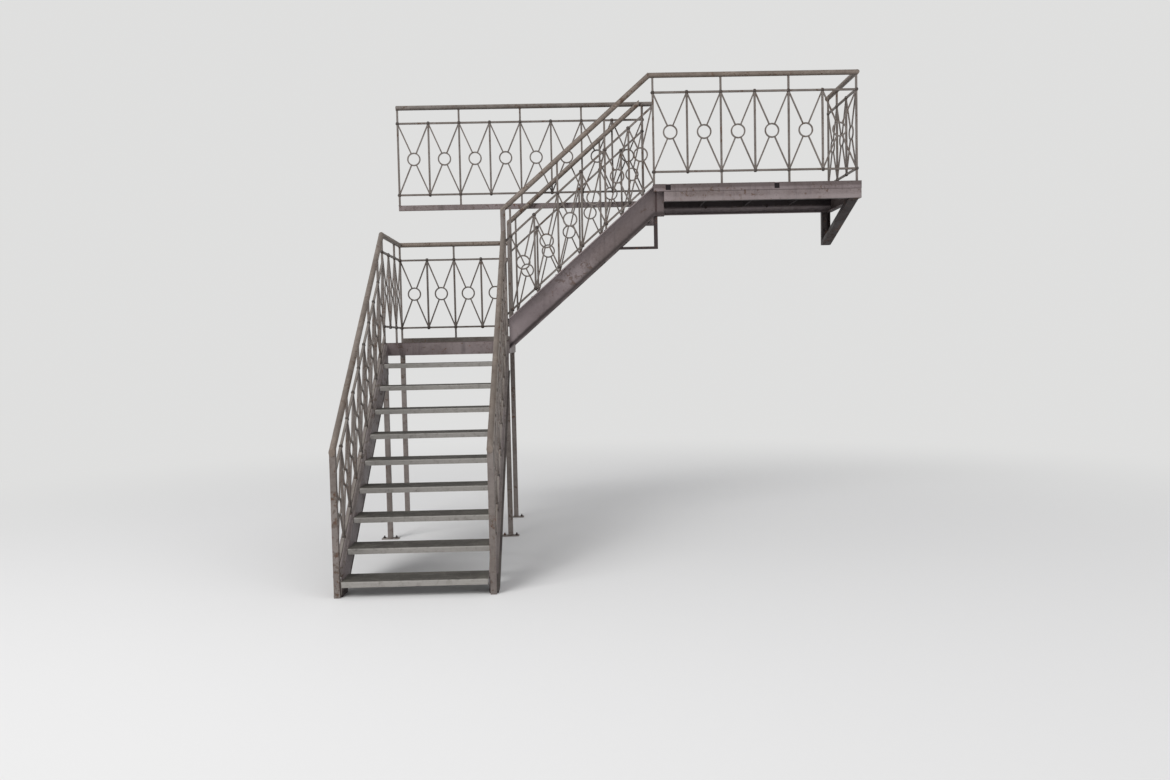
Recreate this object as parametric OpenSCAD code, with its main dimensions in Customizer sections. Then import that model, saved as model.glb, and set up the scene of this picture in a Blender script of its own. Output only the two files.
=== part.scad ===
// Painted steel quarter-turn stair: a lower flight, a landing on legs, an upper flight, a wall platform
// and the guard of the gallery beside it, with ring-and-cross panels under tubular handrails.
// The origin is on the floor, under the back left leg. The lower flight climbs along +Y towards the
// back wall, the upper flight climbs along +X, and +Z is up.

/* [Lower flight] */
// Height of the lowest tread above the floor
first_riser = 107; // [90:1:150]
// Height from one tread of the lower flight to the next
lower_riser = 170; // [150:1:185]
// Run from one tread of the lower flight to the next
lower_going = 207; // [190:1:230]
// Distance between the middles of the two guards of the lower flight
flight_width = 1005; // [850:5:1200]
// Distance from the lowest nosing back to the middle of the foot posts
foot_post_setback = 33; // [28:1:60]
// Side of the square foot posts
foot_post_size = 38; // [30:1:50]
// Height of the handrail's middle at the foot posts
foot_rail_height = 957; // [880:1:1050]

/* [Upper flight] */
// Height from one tread of the upper flight to the next
upper_riser = 180; // [160:1:190]
// Run from one tread of the upper flight to the next
upper_going = 206; // [190:1:230]
// Distance between the middles of the two guards of the upper flight
flight_depth = 850; // [750:5:1000]
// Distance from the newel's middle to the lowest nosing of the upper flight
upper_start = 12; // [0:1:30]
// Distance from the newel's middle to the first upright of the upper guards
upper_guard_start = 60; // [45:1:90]

/* [Treads] */
// Depth of a tread from its nosing to its back
tread_depth = 235; // [225:1:270]
// Height of the folded lips at the front and back of a tread
tread_lip = 36; // [28:1:45]
// Thickness of the folded tread plate
tread_plate = 4; // [3:0.5:6]
// Radius of the tread's outer folds
fold_radius = 7; // [6.5:0.5:10]

/* [Stringers] */
// Depth of the channels that carry the lower flight and the open side of the upper one
stringer_depth = 190; // [160:5:220]
// Depth of the channel along the wall
wall_stringer_depth = 170; // [150:5:200]
// Width of the stringer channels
stringer_flange = 60; // [50:1:70]
// Thickness of the channel webs
web_plate = 6; // [5:0.5:8]
// Thickness of the channel flanges
flange_plate = 8; // [6:0.5:10]
// Drop from the nosing line to the stringers' top edge
nosing_cover = 12; // [8:1:20]

/* [Landing and platform] */
// Depth of the landing's beams
landing_beam_depth = 100; // [90:5:140]
// Depth of the platform's beams
platform_beam_depth = 134; // [120:1:160]
// Width of the flanges of those beams
beam_flange = 50; // [40:1:60]
// Thickness of the deck plates
deck_plate = 6; // [5:0.5:8]
// Height of the folded edge at the front of the platform's deck
deck_edge = 60; // [40:1:80]
// Thickness of that folded edge
deck_edge_plate = 5; // [4:0.5:6]
// Width of the notches in that folded edge
notch_width = 42; // [30:1:60]
// Depth of those notches from the platform's surface
notch_height = 50; // [30:1:55]
// Distance from the platform's left end to the first notch
notch_start = 100; // [60:5:200]
// Distance from the first notch to the second
notch_spacing = 900; // [300:10:1200]
// Width of the flat bars that stiffen the decks
joist_depth = 70; // [50:1:80]
// Thickness of those flat bars
joist_plate = 10; // [8:1:12]
// Length of the level end of the upper stringers
stringer_end = 87; // [80:1:120]

/* [Legs] */
// Side of the square legs
leg_size = 40; // [35:1:50]
// Length of a leg's base plate
base_plate_length = 140; // [130:1:160]
// Width of a leg's base plate
base_plate_width = 60; // [56:1:64]
// Thickness of a leg's base plate
base_plate = 8; // [6:1:12]
// Distance between the two holes of a base plate
base_hole_spacing = 100; // [92:1:110]
// Diameter of the holes in the base plates
base_hole_dia = 12; // [10:1:14]

/* [Guards] */
// Height of the handrail's middle above the landing and the platform
rail_height = 892; // [850:1:950]
// Diameter of the handrail tube
rail_dia = 42.4; // [38:0.1:48.3]
// Height of the upper bar's middle above the landing and the platform
upper_bar_height = 752; // [700:1:780]
// Height of the lower bar's middle above the platform
lower_bar_height = 105; // [80:1:130]
// Height of the lower bar's middle above the landing
landing_bar_height = 137; // [110:1:150]
// Height of the flat bar at the foot of the landing's back guard
kick_bar_height = 42; // [30:1:50]
// Height of the handrail's middle above the stringers' top edge on the upper flight
slope_rail_height = 925; // [900:1:960]
// Height of the upper bar's middle above the stringers' top edge
slope_upper_bar = 650; // [600:1:700]
// Height of the lower bar's middle above the stringers' top edge
slope_lower_bar = 45; // [35:1:70]
// Side of the square uprights and of the upper and lower bars
upright_size = 16; // [14:1:20]
// Width of the crossing bars
cross_bar = 12; // [10:1:14]
// Thickness of the crossing bars and rings
cross_plate = 10; // [8:1:12]
// Outer diameter of the rings
ring_dia = 122; // [100:1:130]
// Side of the square newel posts
newel_size = 40; // [36:1:45]
// Width of one bay of the platform's guard
guard_bay = 281; // [260:1:300]
// Drop from the platform's guard to the gallery's
gallery_drop = 14; // [5:1:30]
// Height of the bar at the gallery's edge
gallery_edge_height = 48; // [36:1:60]
// Distance from the platform's surface down to the middle of the gallery's edge bar
gallery_edge_drop = 28; // [26:1:60]

/* [Brackets] */
// Width of the wall bracket's channels
bracket_width = 80; // [70:1:100]
// Depth of the wall bracket's channels
bracket_depth = 40; // [36:1:50]
// Height of the wall bracket below the platform's beams
bracket_height = 300; // [260:1:360]
// Distance from the wall bracket to the platform's end
bracket_inset = 20; // [10:1:40]
// Drop from the platform's surface to the underside of the knee brace
knee_drop = 527; // [460:1:560]
// Side of the knee brace's upright
knee_size = 30; // [25:1:40]
// Height of the knee brace's level bar
knee_bar = 20; // [14:1:24]
// Distance from the bracket's top to its upper bolt hole
bracket_hole_drop = 60; // [40:5:100]
// Distance between the bracket's two bolt holes
bracket_hole_spacing = 100; // [60:5:140]
// Diameter of the holes for wall bolts
wall_hole_dia = 14; // [12:1:18]

/* [Hidden] */
$fn = 24;
// Facets of the rings and of the small round holes and folds
small_round = 14;
lower_treads = 9;
upper_treads = 6;
lower_guard_bays = 9;
upper_guard_bays = 6;
platform_bays = 6;
end_bays = 3;
landing_bays = 4;
gallery_bays = 8;
platform_joists = 3;
landing_joists = 2;

beam_paint = [0.45, 0.40, 0.39];
guard_paint = [0.39, 0.35, 0.33];
rail_paint = [0.35, 0.31, 0.29];
tread_paint = [0.50, 0.47, 0.45];
deck_paint = [0.41, 0.39, 0.38];

// Extra length of a cutting shape past the face that it cuts
over = 1;
// Far side of the cutting blocks at mitres
reach = 400;
// Depth below a rail's middle at which the uprights end inside it
rail_bite = 4;

// Planes of the stringers and beams
stringer_half = stringer_flange / 2;
left_face = -stringer_half;
right_face = flight_width + stringer_half;
front_face = -flight_depth - stringer_half;
wall_face = stringer_half;
front_inner = -flight_depth + stringer_half;
back_inner = -stringer_half;

// Levels
landing_top = first_riser + lower_treads * lower_riser;
platform_top = landing_top + (upper_treads + 1) * upper_riser;
landing_underside = landing_top - deck_plate - landing_beam_depth;
platform_underside = platform_top - deck_plate - platform_beam_depth;

// Slopes as rise over run
lower_slope = lower_riser / lower_going;
upper_slope = upper_riser / upper_going;
lower_stretch = sqrt(1 + lower_slope * lower_slope);
upper_stretch = sqrt(1 + upper_slope * upper_slope);

// Places along the lower flight, in Y
lower_first = front_face - lower_treads * lower_going;
foot_post_y = lower_first + foot_post_setback;
stringer_start = foot_post_y + foot_post_size / 2;
lower_rail_slope = (landing_top + rail_height - foot_rail_height) / (-flight_depth - foot_post_y);

// Places along the upper flight and the platform, in X
upper_first = flight_width + upper_start;
platform_left = upper_first + upper_treads * upper_going;
beam_start = platform_left + stringer_end;
guard_first = platform_left + upright_size / 2;
guard_last = guard_first + platform_bays * guard_bay;
platform_right = guard_last + stringer_half;
gallery_y = rail_dia;
gallery_level = platform_top - gallery_drop;

// Top edge of the lower stringers at y, and of the upper ones at x
function lower_edge(y) = landing_top - nosing_cover + (y - front_face) * lower_slope;
function upper_edge(x) = landing_top + upper_riser - nosing_cover + (x - upper_first) * upper_slope;
// Where the upper stringers' sloping edge, moved down by drop, meets the level z
function upper_edge_meets(z, drop) = upper_first + (z + drop - landing_top - upper_riser + nosing_cover) / upper_slope;
// Middle of the lower handrails at y
function lower_rail(y) = foot_rail_height + (y - foot_post_y) * lower_rail_slope;
// Middle of the upper handrails at x
function upper_rail(x) = upper_edge(x) + slope_rail_height;
function upper_rail_meets(z) = upper_edge_meets(z, -slope_rail_height);
function unit(v) = v / norm(v);

// The rails' middle lines. The left rail climbs from the foot post, then runs level round the landing to
// the wall newel. The front rail climbs to the platform and returns along its end to the wall. The wall
// rail climbs beside the gallery's guard and ends against the gallery's rail.
foot_rail_start = foot_post_y - foot_post_size / 2;
newel_left = flight_width - newel_size / 2;
right_rail_end = -flight_depth - newel_size / 2;
landing_rail = landing_top + rail_height;
platform_rail = platform_top + rail_height;
gallery_rail = gallery_level + rail_height;
left_rail = [
    [0, foot_rail_start, lower_rail(foot_rail_start)], [0, -flight_depth, landing_rail],
    [0, 0, landing_rail], [newel_left, 0, landing_rail]
];
right_rail = [
    [flight_width, foot_rail_start, lower_rail(foot_rail_start)],
    [flight_width, right_rail_end, lower_rail(right_rail_end)]
];
front_rail = [
    [newel_left, -flight_depth, upper_rail(newel_left)], [upper_rail_meets(platform_rail), -flight_depth, platform_rail],
    [guard_last, -flight_depth, platform_rail], [guard_last, wall_face, platform_rail]
];
wall_rail = [
    [newel_left, 0, upper_rail(newel_left)], [upper_rail_meets(gallery_rail), 0, gallery_rail]
];

// A flat shape drawn in X and Z, made solid from y0 to y1
module in_xz(y0, y1) {
    translate([0, y1, 0]) rotate([90, 0, 0]) linear_extrude(y1 - y0) children();
}

// A flat shape drawn in Y and Z, made solid from x0 to x1
module in_yz(x0, x1) {
    translate([x0, 0, 0]) rotate([90, 0, 90]) linear_extrude(x1 - x0) children();
}

module box_between(low, high) {
    translate(low) cube(high - low);
}

// Turns the Z axis to the direction v, and the X axis to the upper side of what runs along v
module aim(v) {
    rotate([0, acos(v.z / norm(v)), atan2(v.y, v.x)]) rotate(180) children();
}

// The half of space behind the plane through p with the normal n, as a block
module block_behind(p, n) {
    translate(p) aim(n) translate([-reach / 2, -reach / 2, -reach]) cube(reach);
}

// A straight tube from p to q, cut by planes with the normals m and n at its ends
module cut_tube(p, q, m, n, d) {
    u = unit(q - p);
    difference() {
        translate(p - u * d) aim(u) cylinder(h = norm(q - p) + 2 * d, d = d);
        block_behind(p, m);
        block_behind(q, -n);
    }
}

// The runs from first to last of a tube along the points, mitred to each other and to the runs beside
// them; the tube's free ends are cut square to the normals n0 and n1
module mitred_runs(points, first, last, n0, n1, d) {
    u = [for (i = [0:len(points) - 2]) unit(points[i + 1] - points[i])];
    corner = points[last];
    translate(corner)
        for (i = [first:last]) {
            start = i == 0 ? n0 : unit(u[i] + u[i - 1]);
            end = i == len(u) - 1 ? n1 : unit(u[i] + u[i + 1]);
            cut_tube(points[i] - corner, points[i + 1] - corner, start, end, d);
        }
}

// Plain tubes along the points, longer than the runs, that cut the seats of a rail in what carries it
module rail_seats(points, d) {
    for (i = [0:len(points) - 2]) {
        u = unit(points[i + 1] - points[i]);
        translate(points[i] - u * d / 2) aim(u) cylinder(h = norm(points[i + 1] - points[i]) + d, d = d);
    }
}

// A flat bar of width w from p to q
module strip(p, q, w) {
    u = unit(q - p);
    side = [-u.y, u.x] * w / 2;
    polygon([p + side, p - side, q - side, q + side]);
}

// A bar from a to b whose middle is at the heights za and zb, with plumb ends
module sloped_strip(a, b, za, zb, w) {
    half = w / 2 * sqrt(1 + pow((zb - za) / (b - a), 2));
    polygon([[a, za - half], [b, zb - half], [b, zb + half], [a, za + half]]);
}

// Channel section seen from its end: width along x, depth along y, open towards +x
module channel_profile(width, depth) {
    difference() {
        square([width, depth]);
        translate([web_plate, flange_plate]) square([width, depth - 2 * flange_plate]);
    }
}

// Folded plate seen from its end: flat top, lips down at both edges, rounded folds
module folded_block(width, height, r) {
    square([width, height - r]);
    translate([r, 0]) square([width - 2 * r, height]);
    translate([r, height - r]) circle(r, $fn = small_round);
    translate([width - r, height - r]) circle(r, $fn = small_round);
}

module tread_profile() {
    difference() {
        translate([0, -tread_lip]) folded_block(tread_depth, tread_lip, fold_radius);
        translate([tread_plate, -tread_lip - over])
            folded_block(tread_depth - 2 * tread_plate, tread_lip - tread_plate + over, fold_radius - tread_plate);
    }
}

// The frame of a guard panel from a0 to a1 along a base line that starts at z0 and climbs by slope.
// Uprights stand at the bays' edges; every second one runs from the base line into the rail, whose
// middle climbs by rail_slope from rail0 and turns level at rail_top.
module guard_frame(a0, a1, bays, z0, slope, low, high, rail0, rail_slope, rail_top, own_start, own_end) {
    pitch = (a1 - a0) / bays;
    run = a1 - a0;
    sloped_strip(a0, a1, z0 + low, z0 + low + run * slope, upright_size);
    sloped_strip(a0, a1, z0 + high, z0 + high + run * slope, upright_size);
    first = own_start ? 0 : 1;
    last = own_end ? bays : bays - 1;
    for (k = [first:last]) {
        a = a0 + k * pitch;
        tall = k % 2 == 0 || k == bays;
        ends = [for (b = [a - upright_size / 2, a + upright_size / 2]) let (foot = z0 + (b - a0) * slope)
            [b, foot + (tall ? 0 : low),
                tall ? min(rail0 + (b - a0) * rail_slope, rail_top) - rail_bite : foot + high]];
        polygon([
            [ends[0].x, ends[0].y], [ends[1].x, ends[1].y], [ends[1].x, ends[1].z], [ends[0].x, ends[0].z]
        ]);
    }
}

// The crosses and rings of the same panel: bars from the corners of each bay stop at its ring
module guard_crosses(a0, a1, bays, z0, slope, low, high) {
    pitch = (a1 - a0) / bays;
    ring_middle = (ring_dia - cross_bar) / 2;
    for (k = [0:bays - 1]) {
        centre = [a0 + (k + 0.5) * pitch, z0 + (k + 0.5) * pitch * slope + (low + high) / 2];
        difference() {
            translate(centre) circle(d = ring_dia, $fn = small_round);
            translate(centre) circle(d = ring_dia - 2 * cross_bar, $fn = small_round);
        }
        for (side = [0, 1], h = [low, high]) {
            corner = [a0 + (k + side) * pitch, z0 + (k + side) * pitch * slope + h];
            strip(corner, centre + unit(corner - centre) * ring_middle, cross_bar);
        }
    }
}

// Outline of a lower stringer: inset is the flanges' thickness, or 0 for the outer outline
module lower_band(inset) {
    drop = stringer_depth * lower_stretch;
    skin = inset * lower_stretch;
    past = inset > 0 ? over : 0;
    y0 = stringer_start - past;
    y1 = front_face + past;
    floor_y = front_face + (drop - skin - landing_top + nosing_cover + inset) / lower_slope;
    polygon([
        [y0, inset], [y0, lower_edge(y0) - skin], [y1, lower_edge(y1) - skin],
        [y1, lower_edge(y1) - drop + skin], [floor_y, inset]
    ]);
}

// Outline of an upper stringer: a sloping band that ends level under the platform's deck
module upper_band(depth, inset) {
    drop = depth * upper_stretch;
    skin = inset * upper_stretch;
    past = inset > 0 ? over : 0;
    x0 = right_face - past;
    x1 = beam_start + past;
    roof = platform_top - deck_plate - inset;
    base = platform_top - deck_plate - drop + inset;
    polygon([
        [x0, upper_edge(x0) - skin], [upper_edge_meets(roof, skin), roof], [x1, roof],
        [x1, base], [upper_edge_meets(base, drop - skin), base], [x0, upper_edge(x0) - drop + skin]
    ]);
}

// The lower stringers' flanges point away from the treads
module lower_stringer_left() {
    color(beam_paint) difference() {
        in_yz(left_face, -left_face) lower_band(0);
        in_yz(left_face - over, -left_face - web_plate) lower_band(flange_plate);
    }
}

module lower_stringer_right() {
    inner = flight_width - stringer_half;
    color(beam_paint) difference() {
        in_yz(inner, right_face) lower_band(0);
        in_yz(inner + web_plate, right_face + over) lower_band(flange_plate);
    }
}

module lower_tread(i) {
    color(tread_paint)
        translate([0, lower_first + (i - 1) * lower_going, first_riser + (i - 1) * lower_riser])
            in_yz(stringer_half, flight_width - stringer_half) tread_profile();
}

// The handrails rest in the posts' tops
module foot_posts() {
    half = foot_post_size / 2;
    y0 = foot_post_y - half;
    y1 = foot_post_y + half;
    color(guard_paint) difference() {
        for (x = [0, flight_width])
            in_yz(x - half, x + half)
                polygon([[y0, 0], [y1, 0], [y1, lower_rail(y1) - rail_bite], [y0, lower_rail(y0) - rail_bite]]);
        rail_seats(left_rail, rail_dia);
        rail_seats(right_rail, rail_dia);
    }
}

// Guard panel above a lower stringer, ending at y1
module lower_guard(x, y1) {
    half = upright_size / 2;
    z0 = lower_edge(stringer_start);
    in_yz(x - half, x + half)
        guard_frame(stringer_start, y1, lower_guard_bays, z0, lower_slope, slope_lower_bar, slope_upper_bar,
            lower_rail(stringer_start), lower_rail_slope, landing_rail, false, false);
    in_yz(x - cross_plate / 2, x + cross_plate / 2)
        guard_crosses(stringer_start, y1, lower_guard_bays, z0, lower_slope, slope_lower_bar, slope_upper_bar);
}

module lower_guard_left() {
    color(guard_paint) difference() {
        lower_guard(0, -flight_depth - upright_size / 2);
        rail_seats(left_rail, rail_dia);
    }
}

module lower_guard_right() {
    color(guard_paint) difference() {
        lower_guard(flight_width, -flight_depth - newel_size / 2);
        rail_seats(right_rail, rail_dia);
    }
}

module lower_handrails() {
    color(rail_paint) {
        mitred_runs(left_rail, 0, 0, [0, 1, 0], [1, 0, 0], rail_dia);
        mitred_runs(right_rail, 0, 0, [0, 1, 0], [0, 1, 0], rail_dia);
    }
}

module landing_handrail() {
    color(rail_paint) mitred_runs(left_rail, 1, 2, [0, 1, 0], [1, 0, 0], rail_dia);
}

// Front and back beams of the landing, with their webs outside and holes for wall bolts at the back
module landing_edge_beams() {
    color(beam_paint) {
        translate([left_face, front_face, landing_underside]) rotate([90, 0, 90])
            linear_extrude(right_face - left_face) channel_profile(beam_flange, landing_beam_depth);
        difference() {
            translate([left_face, wall_face, landing_underside]) rotate([90, 0, 90])
                linear_extrude(right_face - left_face) mirror([1, 0]) channel_profile(beam_flange, landing_beam_depth);
            for (x = landing_wall_holes()) wall_hole(x, landing_underside + landing_beam_depth / 2);
        }
    }
}

function landing_wall_holes() = [flight_width / 4, flight_width * 3 / 4];

// A hole for a wall bolt through a web that lies against the wall
module wall_hole(x, z) {
    translate([x, wall_face + over, z]) rotate([90, 0, 0])
        cylinder(h = web_plate + 2 * over, d = wall_hole_dia, $fn = small_round);
}

// Side beams with coped ends, and flat joists between them
module landing_cross_beams() {
    y0 = front_face + beam_flange;
    y1 = wall_face - beam_flange;
    color(beam_paint) {
        side_beam(left_face, y0, y1, landing_underside, landing_beam_depth, 0);
        side_beam(right_face, y0, y1, landing_underside, landing_beam_depth, 1);
        for (k = [1:landing_joists]) {
            x = left_face + (right_face - left_face) * k / (landing_joists + 1);
            joist(x, y0, y1, landing_top - deck_plate);
        }
    }
}

// A channel along Y with its web on the face x; its web reaches on into the edge beams at both ends
module side_beam(x, y0, y1, z, depth, side) {
    tongue = beam_flange - web_plate;
    translate([x, 0, z]) mirror([side, 0, 0]) {
        translate([0, y1, 0]) rotate([90, 0, 0]) linear_extrude(y1 - y0) channel_profile(beam_flange, depth);
        box_between([0, y0 - tongue, flange_plate], [web_plate, y1 + tongue, depth - flange_plate]);
    }
}

module joist(x, y0, y1, top) {
    box_between([x - joist_plate / 2, y0, top - joist_depth], [x + joist_plate / 2, y1, top]);
}

module landing_deck() {
    color(deck_paint)
        box_between([left_face, front_face, landing_top - deck_plate], [right_face, wall_face, landing_top]);
}

// Four legs; the back ones stand under the guards' corner and the wall newel
module landing_legs() {
    front_y = front_face + leg_size / 2;
    color(beam_paint)
        for (x = [0, flight_width], y = [0, front_y]) leg(x, y);
}

module leg(x, y) {
    half = leg_size / 2;
    difference() {
        union() {
            box_between([x - half, y - half, 0], [x + half, y + half, landing_underside]);
            box_between(
                [x - base_plate_length / 2, y - base_plate_width / 2, 0],
                [x + base_plate_length / 2, y + base_plate_width / 2, base_plate]
            );
        }
        for (side = [-1, 1])
            translate([x + side * base_hole_spacing / 2, y, -over])
                cylinder(h = base_plate + 2 * over, d = base_hole_dia, $fn = small_round);
    }
}

module landing_guard_left() {
    half = upright_size / 2;
    y0 = -flight_depth;
    y1 = -half;
    color(guard_paint) difference() {
        union() {
            in_yz(-half, half)
                guard_frame(y0, y1, end_bays, landing_top, 0, landing_bar_height, upper_bar_height,
                    landing_rail, 0, landing_rail, true, false);
            in_yz(-cross_plate / 2, cross_plate / 2)
                guard_crosses(y0, y1, end_bays, landing_top, 0, landing_bar_height, upper_bar_height);
        }
        rail_seats(left_rail, rail_dia);
    }
}

module landing_guard_back() {
    half = upright_size / 2;
    x1 = flight_width - newel_size / 2;
    color(guard_paint) difference() {
        union() {
            in_xz(-half, half) {
                guard_frame(0, x1, landing_bays, landing_top, 0, landing_bar_height, upper_bar_height,
                    landing_rail, 0, landing_rail, true, false);
                translate([half, landing_top]) square([x1 - half, kick_bar_height]);
            }
            in_xz(-cross_plate / 2, cross_plate / 2)
                guard_crosses(0, x1, landing_bays, landing_top, 0, landing_bar_height, upper_bar_height);
        }
        rail_seats(left_rail, rail_dia);
    }
}

module upper_stringer_front() {
    color(beam_paint) difference() {
        in_xz(front_face, front_inner) upper_band(stringer_depth, 0);
        in_xz(front_face - over, front_inner - web_plate) upper_band(stringer_depth, flange_plate);
    }
}

module upper_stringer_wall() {
    color(beam_paint) difference() {
        in_xz(back_inner, wall_face) upper_band(wall_stringer_depth, 0);
        in_xz(back_inner + web_plate, wall_face + over) upper_band(wall_stringer_depth, flange_plate);
    }
}

module upper_tread(i) {
    color(tread_paint)
        translate([upper_first + (i - 1) * upper_going, 0, landing_top + i * upper_riser])
            in_xz(front_inner, back_inner) tread_profile();
}

module newel_posts() {
    half = newel_size / 2;
    x0 = flight_width - half;
    x1 = flight_width + half;
    color(guard_paint) difference() {
        for (y = [-flight_depth, 0])
            in_xz(y - half, y + half)
                polygon([
                    [x0, landing_top], [x1, landing_top], [x1, upper_rail(x1) - rail_bite],
                    [x0, upper_rail(x0) - rail_bite]
                ]);
        rail_seats(front_rail, rail_dia);
        rail_seats(wall_rail, rail_dia);
    }
}

// Guard panel above an upper stringer in the plane y, from the newel to x1
module upper_guard(y, x1, rail_top, own_end) {
    half = upright_size / 2;
    x0 = flight_width + upper_guard_start;
    newel_side = flight_width + newel_size / 2;
    z0 = upper_edge(x0);
    in_xz(y - half, y + half) {
        guard_frame(x0, x1, upper_guard_bays, z0, upper_slope, slope_lower_bar, slope_upper_bar,
            upper_rail(x0), upper_slope, rail_top, true, own_end);
        for (h = [slope_lower_bar, slope_upper_bar])
            sloped_strip(newel_side, x0, upper_edge(newel_side) + h, z0 + h, upright_size);
    }
    in_xz(y - cross_plate / 2, y + cross_plate / 2)
        guard_crosses(x0, x1, upper_guard_bays, z0, upper_slope, slope_lower_bar, slope_upper_bar);
}

module upper_guard_front() {
    color(guard_paint) difference() {
        upper_guard(-flight_depth, platform_left, platform_rail, false);
        rail_seats(front_rail, rail_dia);
    }
}

module upper_guard_wall() {
    color(guard_paint) difference() {
        upper_guard(0, platform_left - upright_size, gallery_rail, true);
        rail_seats(wall_rail, rail_dia);
    }
}

module upper_handrails() {
    color(rail_paint) {
        mitred_runs(front_rail, 0, 0, [1, 0, 0], [0, 1, 0], rail_dia);
        mitred_runs(wall_rail, 0, 0, [1, 0, 0], [1, 0, 0], rail_dia);
    }
}

module platform_handrail() {
    color(rail_paint) mitred_runs(front_rail, 1, 2, [1, 0, 0], [0, 1, 0], rail_dia);
}

module platform_front_beam() {
    color(beam_paint)
        translate([beam_start, front_face, platform_underside]) rotate([90, 0, 90])
            linear_extrude(platform_right - beam_start) channel_profile(beam_flange, platform_beam_depth);
}

function platform_wall_holes() = [platform_left + 2 * guard_bay, platform_left + 4 * guard_bay];

module platform_back_beam() {
    color(beam_paint) difference() {
        translate([beam_start, wall_face, platform_underside]) rotate([90, 0, 90])
            linear_extrude(platform_right - beam_start) mirror([1, 0]) channel_profile(beam_flange, platform_beam_depth);
        for (x = platform_wall_holes()) wall_hole(x, platform_underside + platform_beam_depth / 2);
    }
}

module platform_cross_beams() {
    y0 = front_face + beam_flange;
    y1 = wall_face - beam_flange;
    span = platform_right - beam_start;
    color(beam_paint) {
        side_beam(platform_right, y0, y1, platform_underside, platform_beam_depth, 1);
        for (k = [1:platform_joists])
            joist(beam_start + span * k / (platform_joists + 1), y0, y1, platform_top - deck_plate);
    }
}

// Deck plate with a folded front edge, which has two notches, and a nosing at the head of the flight
module platform_deck() {
    color(deck_paint) {
        difference() {
            union() {
                box_between([platform_left, front_face, platform_top - deck_plate],
                    [platform_right, wall_face, platform_top]);
                box_between([platform_left, front_face - deck_edge_plate, platform_top - deck_edge],
                    [platform_right, front_face, platform_top]);
                box_between([platform_left, front_inner, platform_top - tread_lip],
                    [platform_left + tread_plate, back_inner, platform_top]);
            }
            for (x = [platform_left + notch_start, platform_left + notch_start + notch_spacing])
                box_between([x, front_face - deck_edge_plate - over, platform_top - notch_height],
                    [x + notch_width, front_face, platform_top + over]);
        }
    }
}

module platform_guard_front() {
    half = upright_size / 2;
    color(guard_paint) difference() {
        union() {
            in_xz(-flight_depth - half, -flight_depth + half)
                guard_frame(guard_first, guard_last, platform_bays, platform_top, 0, lower_bar_height, upper_bar_height,
                    upper_rail(guard_first), upper_slope, platform_rail, true, true);
            in_xz(-flight_depth - cross_plate / 2, -flight_depth + cross_plate / 2)
                guard_crosses(guard_first, guard_last, platform_bays, platform_top, 0, lower_bar_height, upper_bar_height);
        }
        rail_seats(front_rail, rail_dia);
    }
}

module platform_guard_end() {
    half = upright_size / 2;
    y0 = -flight_depth + half;
    color(guard_paint) difference() {
        union() {
            in_yz(guard_last - half, guard_last + half)
                guard_frame(y0, 0, end_bays, platform_top, 0, lower_bar_height, upper_bar_height,
                    platform_rail, 0, platform_rail, false, true);
            in_yz(guard_last - cross_plate / 2, guard_last + cross_plate / 2)
                guard_crosses(y0, 0, end_bays, platform_top, 0, lower_bar_height, upper_bar_height);
        }
        rail_seats(front_rail, rail_dia);
    }
}

// Wall channel and a diagonal channel that runs out under the front beam
module wall_bracket() {
    x1 = platform_right - bracket_inset;
    x0 = x1 - bracket_width;
    low = platform_underside - bracket_height;
    toe = wall_face - bracket_depth;
    color(beam_paint) {
        difference() {
            box_between([x0, toe, low], [x1, wall_face, platform_underside]);
            box_between([x0 + web_plate, toe - over, low - over],
                [x1 - web_plate, wall_face - web_plate, platform_underside + over]);
            for (k = [0, 1])
                wall_hole((x0 + x1) / 2, platform_underside - bracket_hole_drop - k * bracket_hole_spacing);
        }
        difference() {
            in_yz(x0, x1) bracket_diagonal(low, toe, 0);
            in_yz(x0 + web_plate, x1 - web_plate) bracket_diagonal(low, toe, web_plate);
        }
    }
}

// The diagonal's outline; lift raises its lower edge to leave a web there
module bracket_diagonal(low, toe, lift) {
    slope = (platform_underside - low) / (front_face - toe);
    rise = bracket_depth * sqrt(1 + slope * slope);
    web = lift * sqrt(1 + slope * slope);
    past = lift > 0 ? over : 0;
    roof = platform_underside + past;
    y1 = toe + past;
    polygon([
        [y1, low + web + past * slope], [y1, low + rise + past],
        [toe + (platform_underside - low - rise) / slope, roof + past], [front_face - web / slope, roof]
    ]);
}

// Upright and level bar that triangulate the head of the open stringer
module knee_brace() {
    x1 = platform_left + knee_size;
    low = platform_top - knee_drop;
    left = upper_edge_meets(low, stringer_depth * upper_stretch) - over;
    color(beam_paint)
        in_xz(-flight_depth - knee_size / 2, -flight_depth + knee_size / 2) difference() {
            union() {
                translate([x1 - knee_size, low]) square([knee_size, knee_drop - deck_edge]);
                translate([left, low]) square([x1 - left, knee_bar]);
            }
            upper_band(stringer_depth, 0);
        }
}

// The bar along the gallery's edge, which ends against the head of the wall stringer and the deck's edge
module gallery_edge_bar() {
    middle = platform_top - gallery_edge_drop;
    color(beam_paint)
        box_between([0, wall_face, middle - gallery_edge_height / 2],
            [beam_start, 2 * gallery_y - wall_face, middle + gallery_edge_height / 2]);
}

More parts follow.
